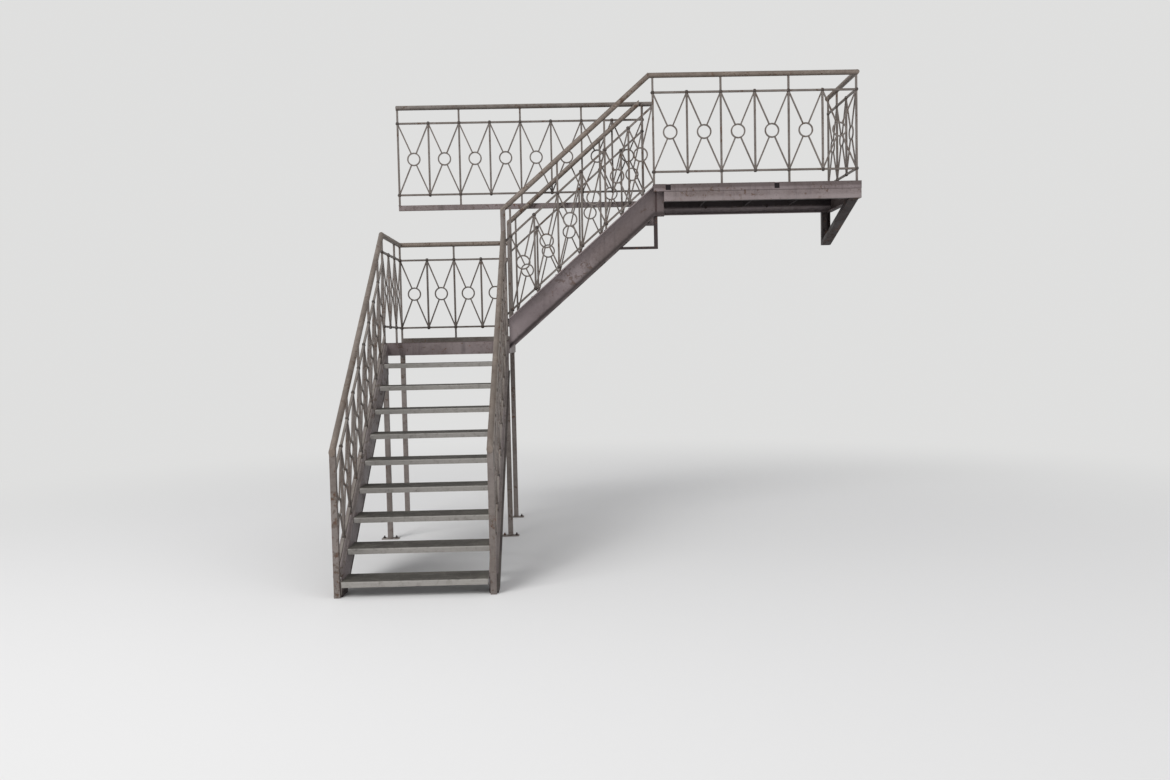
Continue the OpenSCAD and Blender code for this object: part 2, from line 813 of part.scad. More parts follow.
// The gallery's guard with its own handrail, as one welded frame on the edge bar
module gallery_guard() {
    half = upright_size / 2;
    x1 = platform_left - half;
    foot = platform_top - gallery_edge_drop + gallery_edge_height / 2;
    rise = gallery_level - foot;
    color(guard_paint) {
        in_xz(gallery_y - half, gallery_y + half)
            guard_frame(half, x1, gallery_bays, foot, 0, rise + lower_bar_height, rise + upper_bar_height,
                gallery_rail, 0, gallery_rail, true, true);
        in_xz(gallery_y - cross_plate / 2, gallery_y + cross_plate / 2)
            guard_crosses(half, x1, gallery_bays, foot, 0, rise + lower_bar_height, rise + upper_bar_height);
        translate([0, gallery_y, gallery_rail]) rotate([0, 90, 0]) cylinder(h = beam_start, d = rail_dia);
    }
}

for (i = [1:lower_treads])
    lower_tread(i);
for (i = [1:upper_treads])
    upper_tread(i);
lower_stringer_left();
lower_stringer_right();
foot_posts();
lower_guard_left();
lower_guard_right();
lower_handrails();
landing_handrail();
landing_edge_beams();
landing_cross_beams();
landing_deck();
landing_legs();
landing_guard_left();
landing_guard_back();
upper_stringer_front();
upper_stringer_wall();
newel_posts();
upper_guard_front();
upper_guard_wall();
upper_handrails();
platform_handrail();
platform_front_beam();
platform_back_beam();
platform_cross_beams();
platform_deck();
platform_guard_front();
platform_guard_end();
wall_bracket();
knee_brace();
gallery_edge_bar();
gallery_guard();
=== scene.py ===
import math
from types import SimpleNamespace

import bpy
import numpy as np
from mathutils import Matrix, Vector


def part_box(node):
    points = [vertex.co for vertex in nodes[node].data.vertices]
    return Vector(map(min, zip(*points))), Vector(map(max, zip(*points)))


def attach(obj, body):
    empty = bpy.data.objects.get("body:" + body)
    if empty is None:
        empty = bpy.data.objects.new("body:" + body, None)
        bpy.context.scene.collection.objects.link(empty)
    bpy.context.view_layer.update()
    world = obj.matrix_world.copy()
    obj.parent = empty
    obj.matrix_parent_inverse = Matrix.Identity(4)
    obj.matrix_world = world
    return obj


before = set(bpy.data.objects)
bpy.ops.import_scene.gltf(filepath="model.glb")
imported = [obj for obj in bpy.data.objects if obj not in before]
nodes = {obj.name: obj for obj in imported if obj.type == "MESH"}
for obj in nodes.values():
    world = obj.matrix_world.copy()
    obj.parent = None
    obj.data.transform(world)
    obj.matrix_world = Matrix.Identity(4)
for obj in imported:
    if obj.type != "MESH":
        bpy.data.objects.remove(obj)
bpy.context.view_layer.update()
print("frame loaded:", len(nodes), "nodes")

# fitted to the stair's own lines: metres and radians, with the lens and its sensor in millimetres
cameraSettings = dict(
    place=(1.517, -8.808, 1.611), yaw=-0.0171, pitch=-0.0503, roll=0.0213,
    lens=29.36, sensor=36.0, reach=200,
)


def addObject(name, data):
    made = bpy.data.objects.new(name, data)
    bpy.context.collection.objects.link(made)
    return made


def makeCamera(settings):
    data = bpy.data.cameras.new("photoCamera")
    data.sensor_fit = "HORIZONTAL"
    data.sensor_width = settings["sensor"]
    data.lens = settings["lens"]
    data.clip_end = settings["reach"]
    camera = addObject("photoCamera", data)
    turn = Matrix.Rotation(settings["yaw"], 4, "Z")
    turn = turn @ Matrix.Rotation(math.pi / 2 + settings["pitch"], 4, "X")
    turn = turn @ Matrix.Rotation(-settings["roll"], 4, "Z")
    camera.matrix_world = Matrix.Translation(settings["place"]) @ turn
    bpy.context.scene.camera = camera


makeCamera(cameraSettings)
bpy.context.scene.view_settings.view_transform = "Standard"
print("camera placed")

# sizes that the finishes and the added pieces share with the stair, in metres
stairSizes = dict(
    flightWidth=1.005, flightDepth=0.85, landingTop=1.637, platformTop=2.897,
    nosingCover=0.012, lowerHead=-0.88, footPostY=-2.71, footRailHeight=0.957,
    railHeight=0.892, slopeRail=0.925, railRadius=0.0212, barSide=0.016, ringRadius=0.061,
    galleryY=0.0424, galleryRail=3.775, galleryFoot=2.893, guardLast=3.947,
)
stair = SimpleNamespace(**stairSizes)
# A flight climbs along run, from its first nosing and the height of its first tread, at top. The treads meet
# the channels at ends, and drag is how fine the drag marks on them are along each axis
flights = dict(
    lower=dict(
        run="Y", cross="X", treads=9, first=-2.743, going=0.207, top=0.107, riser=0.17,
        middle=0.5025, half=0.4725, ends=(0.0306, 0.9744), drag=(3.0, 45.0, 20.0),
    ),
    upper=dict(
        run="X", cross="Y", treads=6, first=1.017, going=0.206, top=1.817, riser=0.18,
        middle=-0.425, half=0.395, ends=(-0.0306, -0.8194), drag=(45.0, 3.0, 20.0),
    ),
)
lowerSlope, upperSlope = (flight["riser"] / flight["going"] for flight in flights.values())


# a socket's value may be a number, a colour or another node's output, here and below
def setSockets(node, values):
    for name, value in values.items():
        socket = node.inputs[name]
        if isinstance(value, bpy.types.NodeSocket):
            node.id_data.links.new(value, socket)
        else:
            socket.default_value = (*value, 1) if socket.type == "RGBA" else value


def put(tree, kind, values=None, **options):
    made = tree.nodes.new("ShaderNode" + kind)
    for name, value in options.items():
        setattr(made, name, value)
    setSockets(made, values or {})
    return made


# the tree of whichever value is a socket
def treeOf(*values):
    return next(value.id_data for value in values if isinstance(value, bpy.types.NodeSocket))


def maths(operation, a, b=0.0, clamp=False):
    return put(treeOf(a, b), "Math", {0: a, 1: b}, operation=operation, use_clamp=clamp).outputs[0]


def plus(a, b, clamp=False):
    return maths("ADD", a, b, clamp)


def minus(a, b):
    return maths("SUBTRACT", a, b)


def times(a, b, clamp=False):
    return maths("MULTIPLY", a, b, clamp)


def over(a, b):
    return maths("DIVIDE", a, b)


def larger(a, b):
    return maths("MAXIMUM", a, b)


def vectors(operation, a, b=(0, 0, 0), output="Vector"):
    return put(treeOf(a, b), "VectorMath", {0: a, 1: b}, operation=operation).outputs[output]


def parts(vector):
    return put(vector.id_data, "SeparateXYZ", {0: vector}).outputs


def blend(factor, a, b):
    return put(treeOf(factor, a, b), "Mix", {0: factor, 6: a, 7: b}, data_type="RGBA").outputs[2]


# eases from start to end while the value goes from low to high
def fade(value, low, high, start=0.0, end=1.0):
    ends = {"Value": value, "From Min": low, "From Max": high, "To Min": start, "To Max": end}
    return put(value.id_data, "MapRange", ends, interpolation_type="SMOOTHSTEP").outputs[0]


# moves a value up and down with a noise, by amount from its lowest to its highest
def wobble(value, noise, amount):
    return plus(value, times(minus(noise, 0.5), amount))


def objectPlace(tree):
    return put(tree, "TexCoord").outputs["Object"]


def stretched(place, scale):
    return put(place.id_data, "Mapping", {"Vector": place, "Scale": scale}).outputs[0]


# how far a face looks along each axis, from -1 to 1
def facing(tree, normal="True Normal"):
    return parts(put(tree, "NewGeometry").outputs[normal])


# Every noise in the finishes: scale, detail, roughness and distortion. Where the scale is None, the finish
# gives its own
noises = dict(
    patches=(None, 5, 0.58, 0.7), mottle=(34, 6, 0.62, 0.2), stains=(1.3, 4, 0.55, 1.2),
    streaks=(1.0, 5, 0.6, 0.4), flakes=(88, 7, 0.68, 0.6), chipped=(5.5, 4, 0.6, 1.0),
    lifted=(2.4, 4, 0.55, 0.8), flaking=(27, 8, 0.6, 0.4), rubbing=(26, 6, 0.7, 0.4),
    bareSteel=(60, 4, 0.5, 0.0), corners=(14, 5, 0.6, 0.5), paintedShade=(7, 6, 0.62, 0.8),
    drift=(None, 6, 0.62, 0.6), dustGrains=(240, 2, 0.5, 0.0), bloom=(None, 7, 0.68, 1.1),
    pits=(130, 5, 0.7, 0.0), nosing=(30, 6, 0.65, 0.5), path=(4.0, 4, 0.6, 0.8),
    clouds=(9, 8, 0.72, 0.9), grit=(190, 3, 0.6, 0.0), drags=(1.0, 5, 0.7, 0.5),
    bandEdge=(22, 5, 0.62, 0.5), headEdge=(3, 4, 0.6, 0.6), patchEdge=(30, 5, 0.62, 0.5),
    hands=(3.0, 5, 0.6, 0.8), tread=(16, 6, 0.65, 0.6), lipFlakes=(46, 7, 0.72, 0.8),
    deck=(3.2, 5, 0.62, 0.9),
)
patterns = dict(streakStretch=(24, 24, 1.5), spotScale=21, dotScale=34, samples=6)


def speckle(place, name, scale=None):
    usual, detail, rough, bend = noises[name]
    values = {"Vector": place, "Scale": usual if scale is None else scale, "Detail": detail}
    values.update({"Roughness": rough, "Distortion": bend})
    return put(place.id_data, "TexNoise", values).outputs[0]


def cells(place, scale):
    return put(place.id_data, "TexVoronoi", {"Vector": place, "Scale": scale}).outputs


# Makes a shader group of the function below it, which turns the inputs and the object's coordinates into the
# outputs. An input's first value is a number, a tuple for a colour or a list for a vector. The function's
# name then places the group in a tree, and an input such as Patch Scale is given as patchScale
def shaderGroup(takes):
    def build(work):
        group = bpy.data.node_groups.new(work.__name__, "ShaderNodeTree")
        for label, value in takes.items():
            kind = {float: "Float", tuple: "Color", list: "Vector"}[type(value)]
            socket = group.interface.new_socket(label, in_out="INPUT", socket_type="NodeSocket" + kind)
            socket.default_value = (*value, 1) if kind == "Color" else value
        gives = work(group.nodes.new("NodeGroupInput").outputs, objectPlace(group))
        for label, value in gives.items():
            kind = "Color" if value.type == "RGBA" else "Float"
            group.interface.new_socket(label, in_out="OUTPUT", socket_type="NodeSocket" + kind)
        setSockets(group.nodes.new("NodeGroupOutput"), gives)
        keys = {label[0].lower() + label[1:].replace(" ", ""): label for label in takes}

        def placeGroup(tree, **values):
            made = put(tree, "Group", node_tree=group)
            setSockets(made, {keys[key]: value for key, value in values.items() if key in keys})
            return made.outputs
        return placeGroup
    return build


# old brushed paint: faded patches, fine mottling, runs of dirt down the faces, chips with bare metal in them
@shaderGroup({
    "Paint": (0.16, 0.14, 0.13), "Faded": (0.23, 0.2, 0.19), "Grime": (0.05, 0.04, 0.04),
    "Bare": (0.11, 0.06, 0.035), "Stain": (0.13, 0.1, 0.08), "Patch Scale": 2.2, "Runs": 0.5,
    "Chips": 0.5, "Chip Cover": 0.0, "Peel Cover": 0.0,
})
def agedPaint(take, place):
    patches = speckle(place, "patches", take["Patch Scale"])
    mottle = speckle(place, "mottle")
    colour = blend(fade(patches, 0.36, 0.68), take["Paint"], take["Faded"])
    colour = blend(fade(speckle(place, "stains"), 0.46, 0.66, 0.0, 0.55), colour, take["Stain"])
    colour = blend(fade(mottle, 0.42, 0.74, 0.0, 0.45), colour, take["Faded"])
    colour = blend(fade(mottle, 0.5, 0.24, 0.0, 0.3), colour, take["Grime"])
    streaks = speckle(stretched(place, patterns["streakStretch"]), "streaks")
    colour = blend(times(fade(streaks, 0.5, 0.74), take["Runs"]), colour, take["Grime"])
    chipped = fade(speckle(place, "chipped"), 0.5, 0.66)
    flakes = plus(speckle(place, "flakes"), times(chipped, 0.1))
    chips = times(fade(plus(flakes, take["Chip Cover"]), 0.655, 0.685), take["Chips"])
    colour = blend(chips, colour, take["Bare"])
    # larger flakes come off where the paint has lifted, and leave a pale raised rim
    lifted = fade(speckle(place, "lifted"), 0.47, 0.6)
    flaking = plus(plus(speckle(place, "flaking"), times(lifted, 0.09)), take["Peel Cover"])
    peeled = fade(flaking, 0.64, 0.65)
    rim = times(minus(fade(flaking, 0.618, 0.64), peeled), 0.55)
    colour = blend(larger(rim, 0.0), colour, take["Faded"])
    under = blend(fade(mottle, 0.4, 0.58), take["Bare"], take["Stain"])
    colour = blend(times(peeled, take["Chips"]), colour, under)
    chips = larger(chips, times(peeled, 0.9))
    rough = plus(fade(patches, 0.3, 0.7, 0.44, 0.62), times(chips, 0.25), clamp=True)
    return {"Colour": colour, "Roughness": rough, "Height": minus(times(mottle, 0.5), times(chips, 0.8))}


# edges rubbed through to bare metal, found from the difference between the rounded and the true normal
@shaderGroup({"Width": 0.006, "Amount": 0.6})
def rubbedEdges(take, place):
    tree = place.id_data
    rounded = put(tree, "Bevel", {"Radius": take["Width"]}, samples=patterns["samples"]).outputs["Normal"]
    true = put(tree, "NewGeometry").outputs["True Normal"]
    edge = fade(vectors("DOT_PRODUCT", rounded, true, "Value"), 0.99, 0.86)
    breaks = fade(speckle(place, "rubbing"), 0.38, 0.54)
    return {"Mask": times(times(edge, breaks), take["Amount"], clamp=True)}


# dirt and painted shade in the inner corners of beams, channels and bars, found from ambient occlusion
@shaderGroup({"Reach": 0.05, "Amount": 0.7})
def cornerGrimeAndShade(take, place):
    shade = put(place.id_data, "AmbientOcclusion", {"Distance": take["Reach"]},
                samples=patterns["samples"], only_local=True)
    uneven = fade(speckle(place, "corners"), 0.3, 0.65, 0.45, 1.0)
    mask = times(fade(shade.outputs["AO"], 0.88, 0.42), uneven)
    return {"Mask": times(mask, take["Amount"], clamp=True)}


# painted shade on what faces down
@shaderGroup({"Amount": 0.6})
def undersideShade(take, place):
    down = fade(facing(place.id_data)["Z"], -0.35, -0.8)
    uneven = fade(speckle(place, "paintedShade"), 0.25, 0.6, 0.6, 1.0)
    return {"Mask": times(times(down, uneven), take["Amount"], clamp=True)}


# dust that lies on what faces up
@shaderGroup({"Amount": 0.7, "Drift Scale": 8.0})
def settledDust(take, place):
    level = fade(facing(place.id_data)["Z"], 0.3, 0.9)
    drift = fade(speckle(place, "drift", take["Drift Scale"]), 0.3, 0.64, 0.35, 1.0)
    grains = speckle(place, "dustGrains")
    lying = times(times(level, drift), fade(grains, 0.25, 0.6, 0.75, 1.0))
    mask = times(lying, take["Amount"], clamp=True)
    return {"Mask": mask, "Height": times(mask, grains)}


# blooms of rust in two tones, rougher than the paint round them
@shaderGroup({
    "Amount": 0.4, "Scale": 7.0, "Dark": (0.055, 0.026, 0.016), "Bright": (0.165, 0.068, 0.028),
})
def rustBloom(take, place):
    pits = speckle(place, "pits")
    bloom = plus(speckle(place, "bloom", take["Scale"]), times(pits, 0.08))
    level = minus(0.74, times(take["Amount"], 0.3))
    mask = fade(bloom, level, plus(level, 0.09))
    colour = blend(fade(pits, 0.36, 0.66), take["Dark"], take["Bright"])
    return {"Mask": mask, "Colour": colour, "Height": times(mask, pits)}


# how feet wear a tread: a scuffed nosing, a cleaner path in the middle, and dust left at the back and ends
@shaderGroup({"Across": 0.0, "Depth": 0.1})
def footWear(take, place):
    ragged = speckle(place, "nosing")
    lip = wobble(take["Depth"], ragged, 0.03)
    nosing = times(fade(lip, 0.016, 0.004), fade(ragged, 0.3, 0.52))
    side = wobble(maths("ABSOLUTE", take["Across"]), speckle(place, "path"), 0.5)
    path = times(fade(side, 0.72, 0.34), fade(take["Depth"], 0.2, 0.1))
    leavings = larger(fade(side, 0.7, 1.02), fade(lip, 0.15, 0.225))
    return {"Nosing": nosing, "Path": path, "Leavings": leavings}


# what is walked into a plate: patches of grit, fine drag marks along one way, and spots of stuck dirt
@shaderGroup({
    "Drag": [3.0, 40.0, 20.0], "Top": (0.08, 0.075, 0.063), "Grit": (0.15, 0.142, 0.122),
    "Scratch": (0.19, 0.178, 0.158), "Stuck": (0.026, 0.023, 0.02), "Speck": (0.36, 0.345, 0.315),
})
def walkedDirt(take, place):
    clouds = speckle(place, "clouds")
    grains = speckle(place, "grit")
    gritty = times(fade(clouds, 0.47, 0.62), fade(grains, 0.38, 0.58, 0.2, 1.0))
    colour = blend(times(gritty, 0.75), take["Top"], take["Grit"])
    drags = speckle(stretched(place, take["Drag"]), "drags")
    drags = times(fade(drags, 0.575, 0.625), fade(clouds, 0.36, 0.54))
    colour = blend(times(drags, 0.55), colour, take["Scratch"])
    spots = plus(cells(place, patterns["spotScale"])["Distance"], times(clouds, 0.32))
    stuck = fade(spots, 0.235, 0.195)
    colour = blend(times(stuck, 0.8), colour, take["Stuck"])
    dots = cells(place, patterns["dotScale"])
    size = put(place.id_data, "SeparateColor", {0: dots["Color"]}).outputs["Red"]
    off = minus(plus(dots["Distance"], times(grains, 0.06)), times(fade(size, 0.72, 1.0), 0.13))
    colour = blend(times(fade(off, 0.045, 0.025), 0.85), colour, take["Speck"])
    height = plus(times(gritty, 0.6), times(stuck, 0.8))
    return {"Colour": colour, "Height": minus(height, times(drags, 0.3))}


print("shader groups made")

# In a finish, corners sets the dirt and painted shade in inner corners, under sets the painted shade on what
# faces down, and the dark grime colour serves both dirt and painted shade
paintFinishes = dict(
    stringerPaint=dict(
        paint=(0.174, 0.138, 0.141), faded=(0.23, 0.193, 0.196), patchScale=2.4,
        grime=(0.05, 0.039, 0.038), bare=(0.095, 0.05, 0.032), runs=0.45, chips=0.8,
        stain=(0.122, 0.094, 0.084), chipCover=0.01, peelCover=-0.006, edges=0.65,
        corners=0.45, dust=0.5, rust=0.18, rustScale=6.0, under=0.75,
    ),
    beamPaint=dict(
        paint=(0.162, 0.128, 0.127), faded=(0.217, 0.18, 0.179), patchScale=3.0,
        grime=(0.042, 0.033, 0.033), bare=(0.09, 0.048, 0.03), runs=0.5, chips=0.8,
        stain=(0.115, 0.088, 0.078), chipCover=0.01, peelCover=-0.004, edges=0.65,
        corners=0.6, dust=0.55, rust=0.26, rustScale=7.0, under=0.85,
    ),
    postPaint=dict(
        paint=(0.15, 0.127, 0.117), faded=(0.208, 0.181, 0.167), patchScale=3.4,
        grime=(0.038, 0.031, 0.028), bare=(0.085, 0.045, 0.028), runs=0.45, chips=0.9,
        stain=(0.11, 0.09, 0.076), chipCover=0.018, peelCover=0.0, edges=0.85,
        corners=0.4, dust=0.55, rust=0.28, rustScale=9.0, under=0.0,
    ),
    guardPaint=dict(
        paint=(0.12, 0.101, 0.09), faded=(0.178, 0.155, 0.141), patchScale=4.5,
        grime=(0.036, 0.029, 0.025), bare=(0.08, 0.044, 0.028), runs=0.25, chips=0.9,
        stain=(0.105, 0.083, 0.067), chipCover=0.014, peelCover=0.002, edges=0.5,
        corners=0.45, dust=0.45, rust=0.28, rustScale=13.0, under=0.25,
    ),
    knotPaint=dict(
        paint=(0.04, 0.032, 0.028), faded=(0.068, 0.056, 0.049), patchScale=9.0,
        grime=(0.02, 0.016, 0.014), bare=(0.07, 0.034, 0.021), runs=0.2, chips=0.7,
        stain=(0.048, 0.03, 0.022), chipCover=0.0, peelCover=-0.1, edges=0.0,
        corners=0.0, dust=0.35, rust=0.45, rustScale=22.0, under=0.0,
    ),
    bracketPaint=dict(
        paint=(0.021, 0.0135, 0.014), faded=(0.034, 0.023, 0.023), patchScale=4.0,
        grime=(0.01, 0.007, 0.007), bare=(0.05, 0.023, 0.015), runs=0.4, chips=0.8,
        stain=(0.036, 0.02, 0.016), chipCover=0.0, peelCover=0.01, edges=0.35,
        corners=0.6, dust=0.14, rust=0.45, rustScale=8.0, under=0.4,
    ),
)
# what all the finishes share: the dust, how rough each layer is, and how the relief and the gloss show
layerSettings = dict(
    dust=(0.3, 0.275, 0.245), rustRough=0.85, dirtRough=0.9, dustRough=0.95,
    relief=0.8, bump=0.0008, specular=0.35,
)


# lays a colour over the paint where the mask is 1, and makes it at least so rough there
def cover(paint, mask, colour, rough=None):
    paint.colour = blend(mask, paint.colour, colour)
    if rough:
        paint.rough = larger(paint.rough, times(mask, rough))


# lays dirt, painted shade and painted light alike, at least as rough as dirt
def coverDirtShadeAndLight(paint, mask, colour):
    cover(paint, mask, colour, layerSettings["dirtRough"])


def layDust(paint, rough=None, **values):
    dust = settledDust(paint.tree, **values)
    cover(paint, dust["Mask"], layerSettings["dust"], rough)
    paint.height = plus(paint.height, dust["Height"])


# starts a material: the aged paint with the rust, dirt, painted shade and rubbed edges that every finish may
# have
def startPaint(name, finish):
    material = bpy.data.materials.new(name)
    material.use_nodes = True
    tree = material.node_tree
    base = agedPaint(tree, **finish)
    paint = SimpleNamespace(material=material, tree=tree, finish=finish, place=objectPlace(tree),
                            colour=base["Colour"], rough=base["Roughness"], height=base["Height"])
    rust = rustBloom(tree, amount=finish["rust"], scale=finish["rustScale"])
    cover(paint, rust["Mask"], rust["Colour"], layerSettings["rustRough"])
    paint.height = plus(paint.height, rust["Height"])
    # dirt and painted shade in the inner corners, and painted shade on what faces down
    for effect, key in ((cornerGrimeAndShade, "corners"), (undersideShade, "under")):
        if finish[key]:
            coverDirtShadeAndLight(paint, effect(tree, amount=finish[key])["Mask"], finish["grime"])
    if finish["edges"]:
        worn = blend(fade(speckle(paint.place, "bareSteel"), 0.4, 0.6), finish["bare"], finish["faded"])
        cover(paint, rubbedEdges(tree, amount=finish["edges"])["Mask"], worn)
    return paint


def finishPaint(paint, dusty=True, bump=layerSettings["bump"]):
    if dusty:
        layDust(paint, layerSettings["dustRough"], amount=paint.finish["dust"])
    values = {"Height": paint.height, "Strength": layerSettings["relief"], "Distance": bump}
    relief = put(paint.tree, "Bump", values).outputs[0]
    setSockets(paint.tree.nodes["Principled BSDF"], {
        "Base Color": paint.colour, "Roughness": paint.rough, "Normal": relief,
        "Specular IOR Level": layerSettings["specular"]})
    return paint.material


# Each stringer: the axis that it runs along, and its lower edge line's start, slope and level end. Towards
# its head the upper one has painted shade, its foot and top edge have painted light, and a seam has rusted
stringerRuns = dict(
    lowerStringerPaint=dict(axis="Y", start=(-0.88, 1.379), slope=lowerSlope, level=1.379),
    upperStringerPaint=dict(
        axis="X", start=(1.017, 1.553), slope=upperSlope, level=2.639,
        head=(1.75, 2.45, 0.0, 0.74), paintedShade=(0.082, 0.062, 0.06),
        foot=(1.2, 1.62, 0.78, 0.0), top=(0.105, 0.182, 0.0, 0.42), pale=(0.345, 0.288, 0.294),
        seam=2.276, seamWidth=(0.015, 0.007), seamAmount=0.95, seamRust=(0.042, 0.024, 0.023),
    ),
)
bandSettings = dict(wobble=0.022, height=(0.04, 0.02), amount=0.85)


# The paint is darker along the bottom of a sloping channel: its height above the lower edge line is (z - the
# line's height) / sqrt(1 + slope^2)
def makeStringerPaint(name, run, band):
    paint = startPaint(name, paintFinishes["stringerPaint"])
    at = parts(paint.place)
    along = at[run["axis"]]
    line = plus(times(minus(along, run["start"][0]), run["slope"]), run["start"][1])
    line = maths("MINIMUM", larger(line, 0.0), run["level"])
    above = over(minus(at["Z"], line), math.sqrt(1 + run["slope"] ** 2))
    ragged = speckle(paint.place, "bandEdge")
    above = wobble(above, ragged, band["wobble"])
    if "head" in run:
        slow = plus(along, times(speckle(paint.place, "headEdge"), 0.3))
        # painted shade towards the head, and painted light at the foot and along the top edge
        cover(paint, fade(slow, *run["head"]), run["paintedShade"])
        cover(paint, larger(fade(slow, *run["foot"]), fade(above, *run["top"])), run["pale"])
        off = plus(maths("ABSOLUTE", minus(along, run["seam"])), times(ragged, 0.004))
        cover(paint, times(fade(off, *run["seamWidth"]), run["seamAmount"]), run["seamRust"])
    # the band along the bottom edge is darker
    coverDirtShadeAndLight(paint, times(fade(above, *band["height"]), band["amount"]), paint.finish["grime"])
    return finishPaint(paint)


# Patches of dirt, painted shade and painted light on a beam: each is a box of lowest and highest corner, how
# soft it ends, how strong it is and its colour
patchDirtAndLight = dict(
    notch=(0.01, 0.007, 0.008), shade=(0.022, 0.017, 0.018), lowerEdgeLight=(0.3, 0.258, 0.258),
    wall=(0.43, 0.372, 0.382), bracket=(0.085, 0.074, 0.077),
)
patchedPaints = dict(
    frontBeamPaint=("beamPaint", [
        # painted shade: two dark patches stand in for the shade seen through notches in the web
        ((2.345, -0.89, 2.838), (2.403, -0.8755, 2.9), 0.003, 1.0, "notch"),
        ((3.245, -0.89, 2.838), (3.303, -0.8755, 2.9), 0.003, 1.0, "notch"),
        # painted light along the lower edge of the front face
        ((2.3, -0.89, 2.75), (4.000, -0.87, 2.792), 0.03, 0.4, "lowerEdgeLight"),
    ]),
    backBeamPaint=("beamPaint", [
        # painted light on the lower part of the web
        ((2.2, 0.01, 2.74), (4.1, 0.027, 2.816), 0.02, 0.92, "wall"),
        ((2.2, -0.03, 2.822), (4.1, 0.04, 2.96), 0.03, 0.9, "shade"),
        ((2.2, -0.03, 2.74), (4.1, -0.018, 2.772), 0.004, 0.4, "shade"),
    ]),
    joistPaint=("beamPaint", [((2.7, -0.845, 2.7), (3.62, -0.005, 2.96), 0.04, 0.9, "shade")]),
    wallBracketPaint=("bracketPaint", [
        ((3.896, -0.02, 2.66), (3.94, 0.000, 2.77), 0.02, 0.6, "bracket"),
    ]),
)


# a point is outside a patch's box by the largest part of |point - middle| - half
def makePatchedPaint(name, finishName, patches):
    paint = startPaint(name, paintFinishes[finishName])
    ragged = speckle(paint.place, "patchEdge")
    for low, high, soft, amount, dirtAndLight in patches:
        middle, half = (np.add(low, high) / 2).tolist(), (np.subtract(high, low) / 2).tolist()
        off = vectors("ABSOLUTE", vectors("SUBTRACT", paint.place, middle))
        sides = parts(vectors("SUBTRACT", off, half))
        out = wobble(larger(larger(sides["X"], sides["Y"]), sides["Z"]), ragged, soft)
        coverDirtShadeAndLight(paint, times(fade(out, soft / 2, -soft / 2), amount), patchDirtAndLight[dirtAndLight])
    return finishPaint(paint)


# rails are browner, rubbed dark and smooth along the top and with brighter dents
railFinish = dict(
    paint=(0.16, 0.128, 0.107), faded=(0.222, 0.184, 0.157), patchScale=3.5,
    grime=(0.038, 0.029, 0.024), bare=(0.08, 0.044, 0.029), runs=0.15, chips=0.9,
    stain=(0.125, 0.092, 0.069), chipCover=0.026, peelCover=0.004, edges=0.0,
    corners=0.0, dust=0.22, rust=0.34, rustScale=11.0, under=0.2,
    rubbed=(0.092, 0.07, 0.057), rubbedAmount=0.75, rubbedRough=0.3, bump=0.0006,
)


def makeRailPaint(name, finish):
    paint = startPaint(name, finish)
    up = facing(paint.tree, "Normal")["Z"]
    hands = times(fade(up, 0.15, 0.75), fade(speckle(paint.place, "hands"), 0.34, 0.6))
    cover(paint, times(hands, finish["rubbedAmount"]), finish["rubbed"])
    values = {0: hands, 2: paint.rough, 3: finish["rubbedRough"]}
    paint.rough = put(paint.tree, "Mix", values, data_type="FLOAT").outputs[0]
    return finishPaint(paint, bump=finish["bump"])


treadFinish = dict(
    paint=(0.13, 0.114, 0.107), faded=(0.18, 0.162, 0.152), patchScale=5.0,
    grime=(0.035, 0.029, 0.026), bare=(0.085, 0.05, 0.033), runs=0.35, chips=0.9,
    stain=(0.1, 0.086, 0.07), chipCover=0.02, peelCover=0.005, edges=0.35,
    corners=0.55, dust=0.08, rust=0.26, rustScale=9.0, under=0.85,
    scuffed=(0.33, 0.314, 0.292), lip=(0.212, 0.199, 0.184), trodden=(0.034, 0.031, 0.027),
    top=(0.04, 0.036, 0.031), leavings=(0.13, 0.121, 0.101), grit=(0.135, 0.126, 0.107),
    scratch=(0.2, 0.187, 0.165), stuck=(0.018, 0.016, 0.014), walkedAmount=0.4,
    underAmount=0.7, scuffAmount=0.65, scuffPolish=0.2, topRough=0.75, stepMargin=0.05,
)


# the tread that a point is on follows from its height, and its depth from that tread's nosing
def makeTreadPaint(name, finish, flight):
    paint = startPaint(name, finish)
    at = parts(paint.place)
    step = maths("FLOOR", over(minus(at["Z"], flight["top"] - finish["stepMargin"]), flight["riser"]))
    depth = minus(at[flight["run"]], plus(times(step, flight["going"]), flight["first"]))
    across = over(minus(at[flight["cross"]], flight["middle"]), flight["half"])
    wear = footWear(paint.tree, across=across, depth=depth)
    walked = walkedDirt(paint.tree, **finish, drag=flight["drag"])
    faces = facing(paint.tree)
    flat = fade(faces["Z"], 0.5, 0.9)
    front = fade(faces[flight["run"]], -0.3, -0.8)
    uneven = speckle(paint.place, "tread")
    # painted shade on the faces that look down
    cover(paint, times(fade(faces["Z"], -0.3, -0.8), finish["underAmount"]), finish["grime"])
    cover(paint, times(flat, fade(uneven, 0.2, 0.6, 0.8, 1.0)), walked["Colour"])
    paint.height = plus(paint.height, times(flat, walked["Height"]))
    for mask, key in (("Path", "trodden"), ("Leavings", "leavings")):
        cover(paint, times(times(wear[mask], flat), finish["walkedAmount"]), finish[key])
    flaked = fade(speckle(paint.place, "lipFlakes"), 0.36, 0.44)
    cover(paint, times(times(front, flaked), fade(uneven, 0.2, 0.5, 0.75, 1.0)), finish["lip"])
    scuffed = times(times(wear["Nosing"], fade(faces["Z"], -0.5, 0.1)), finish["scuffAmount"])
    cover(paint, scuffed, finish["scuffed"])
    paint.rough = minus(paint.rough, times(scuffed, finish["scuffPolish"]))
    paint.rough = larger(paint.rough, times(flat, finish["topRough"]))
    return finishPaint(paint)


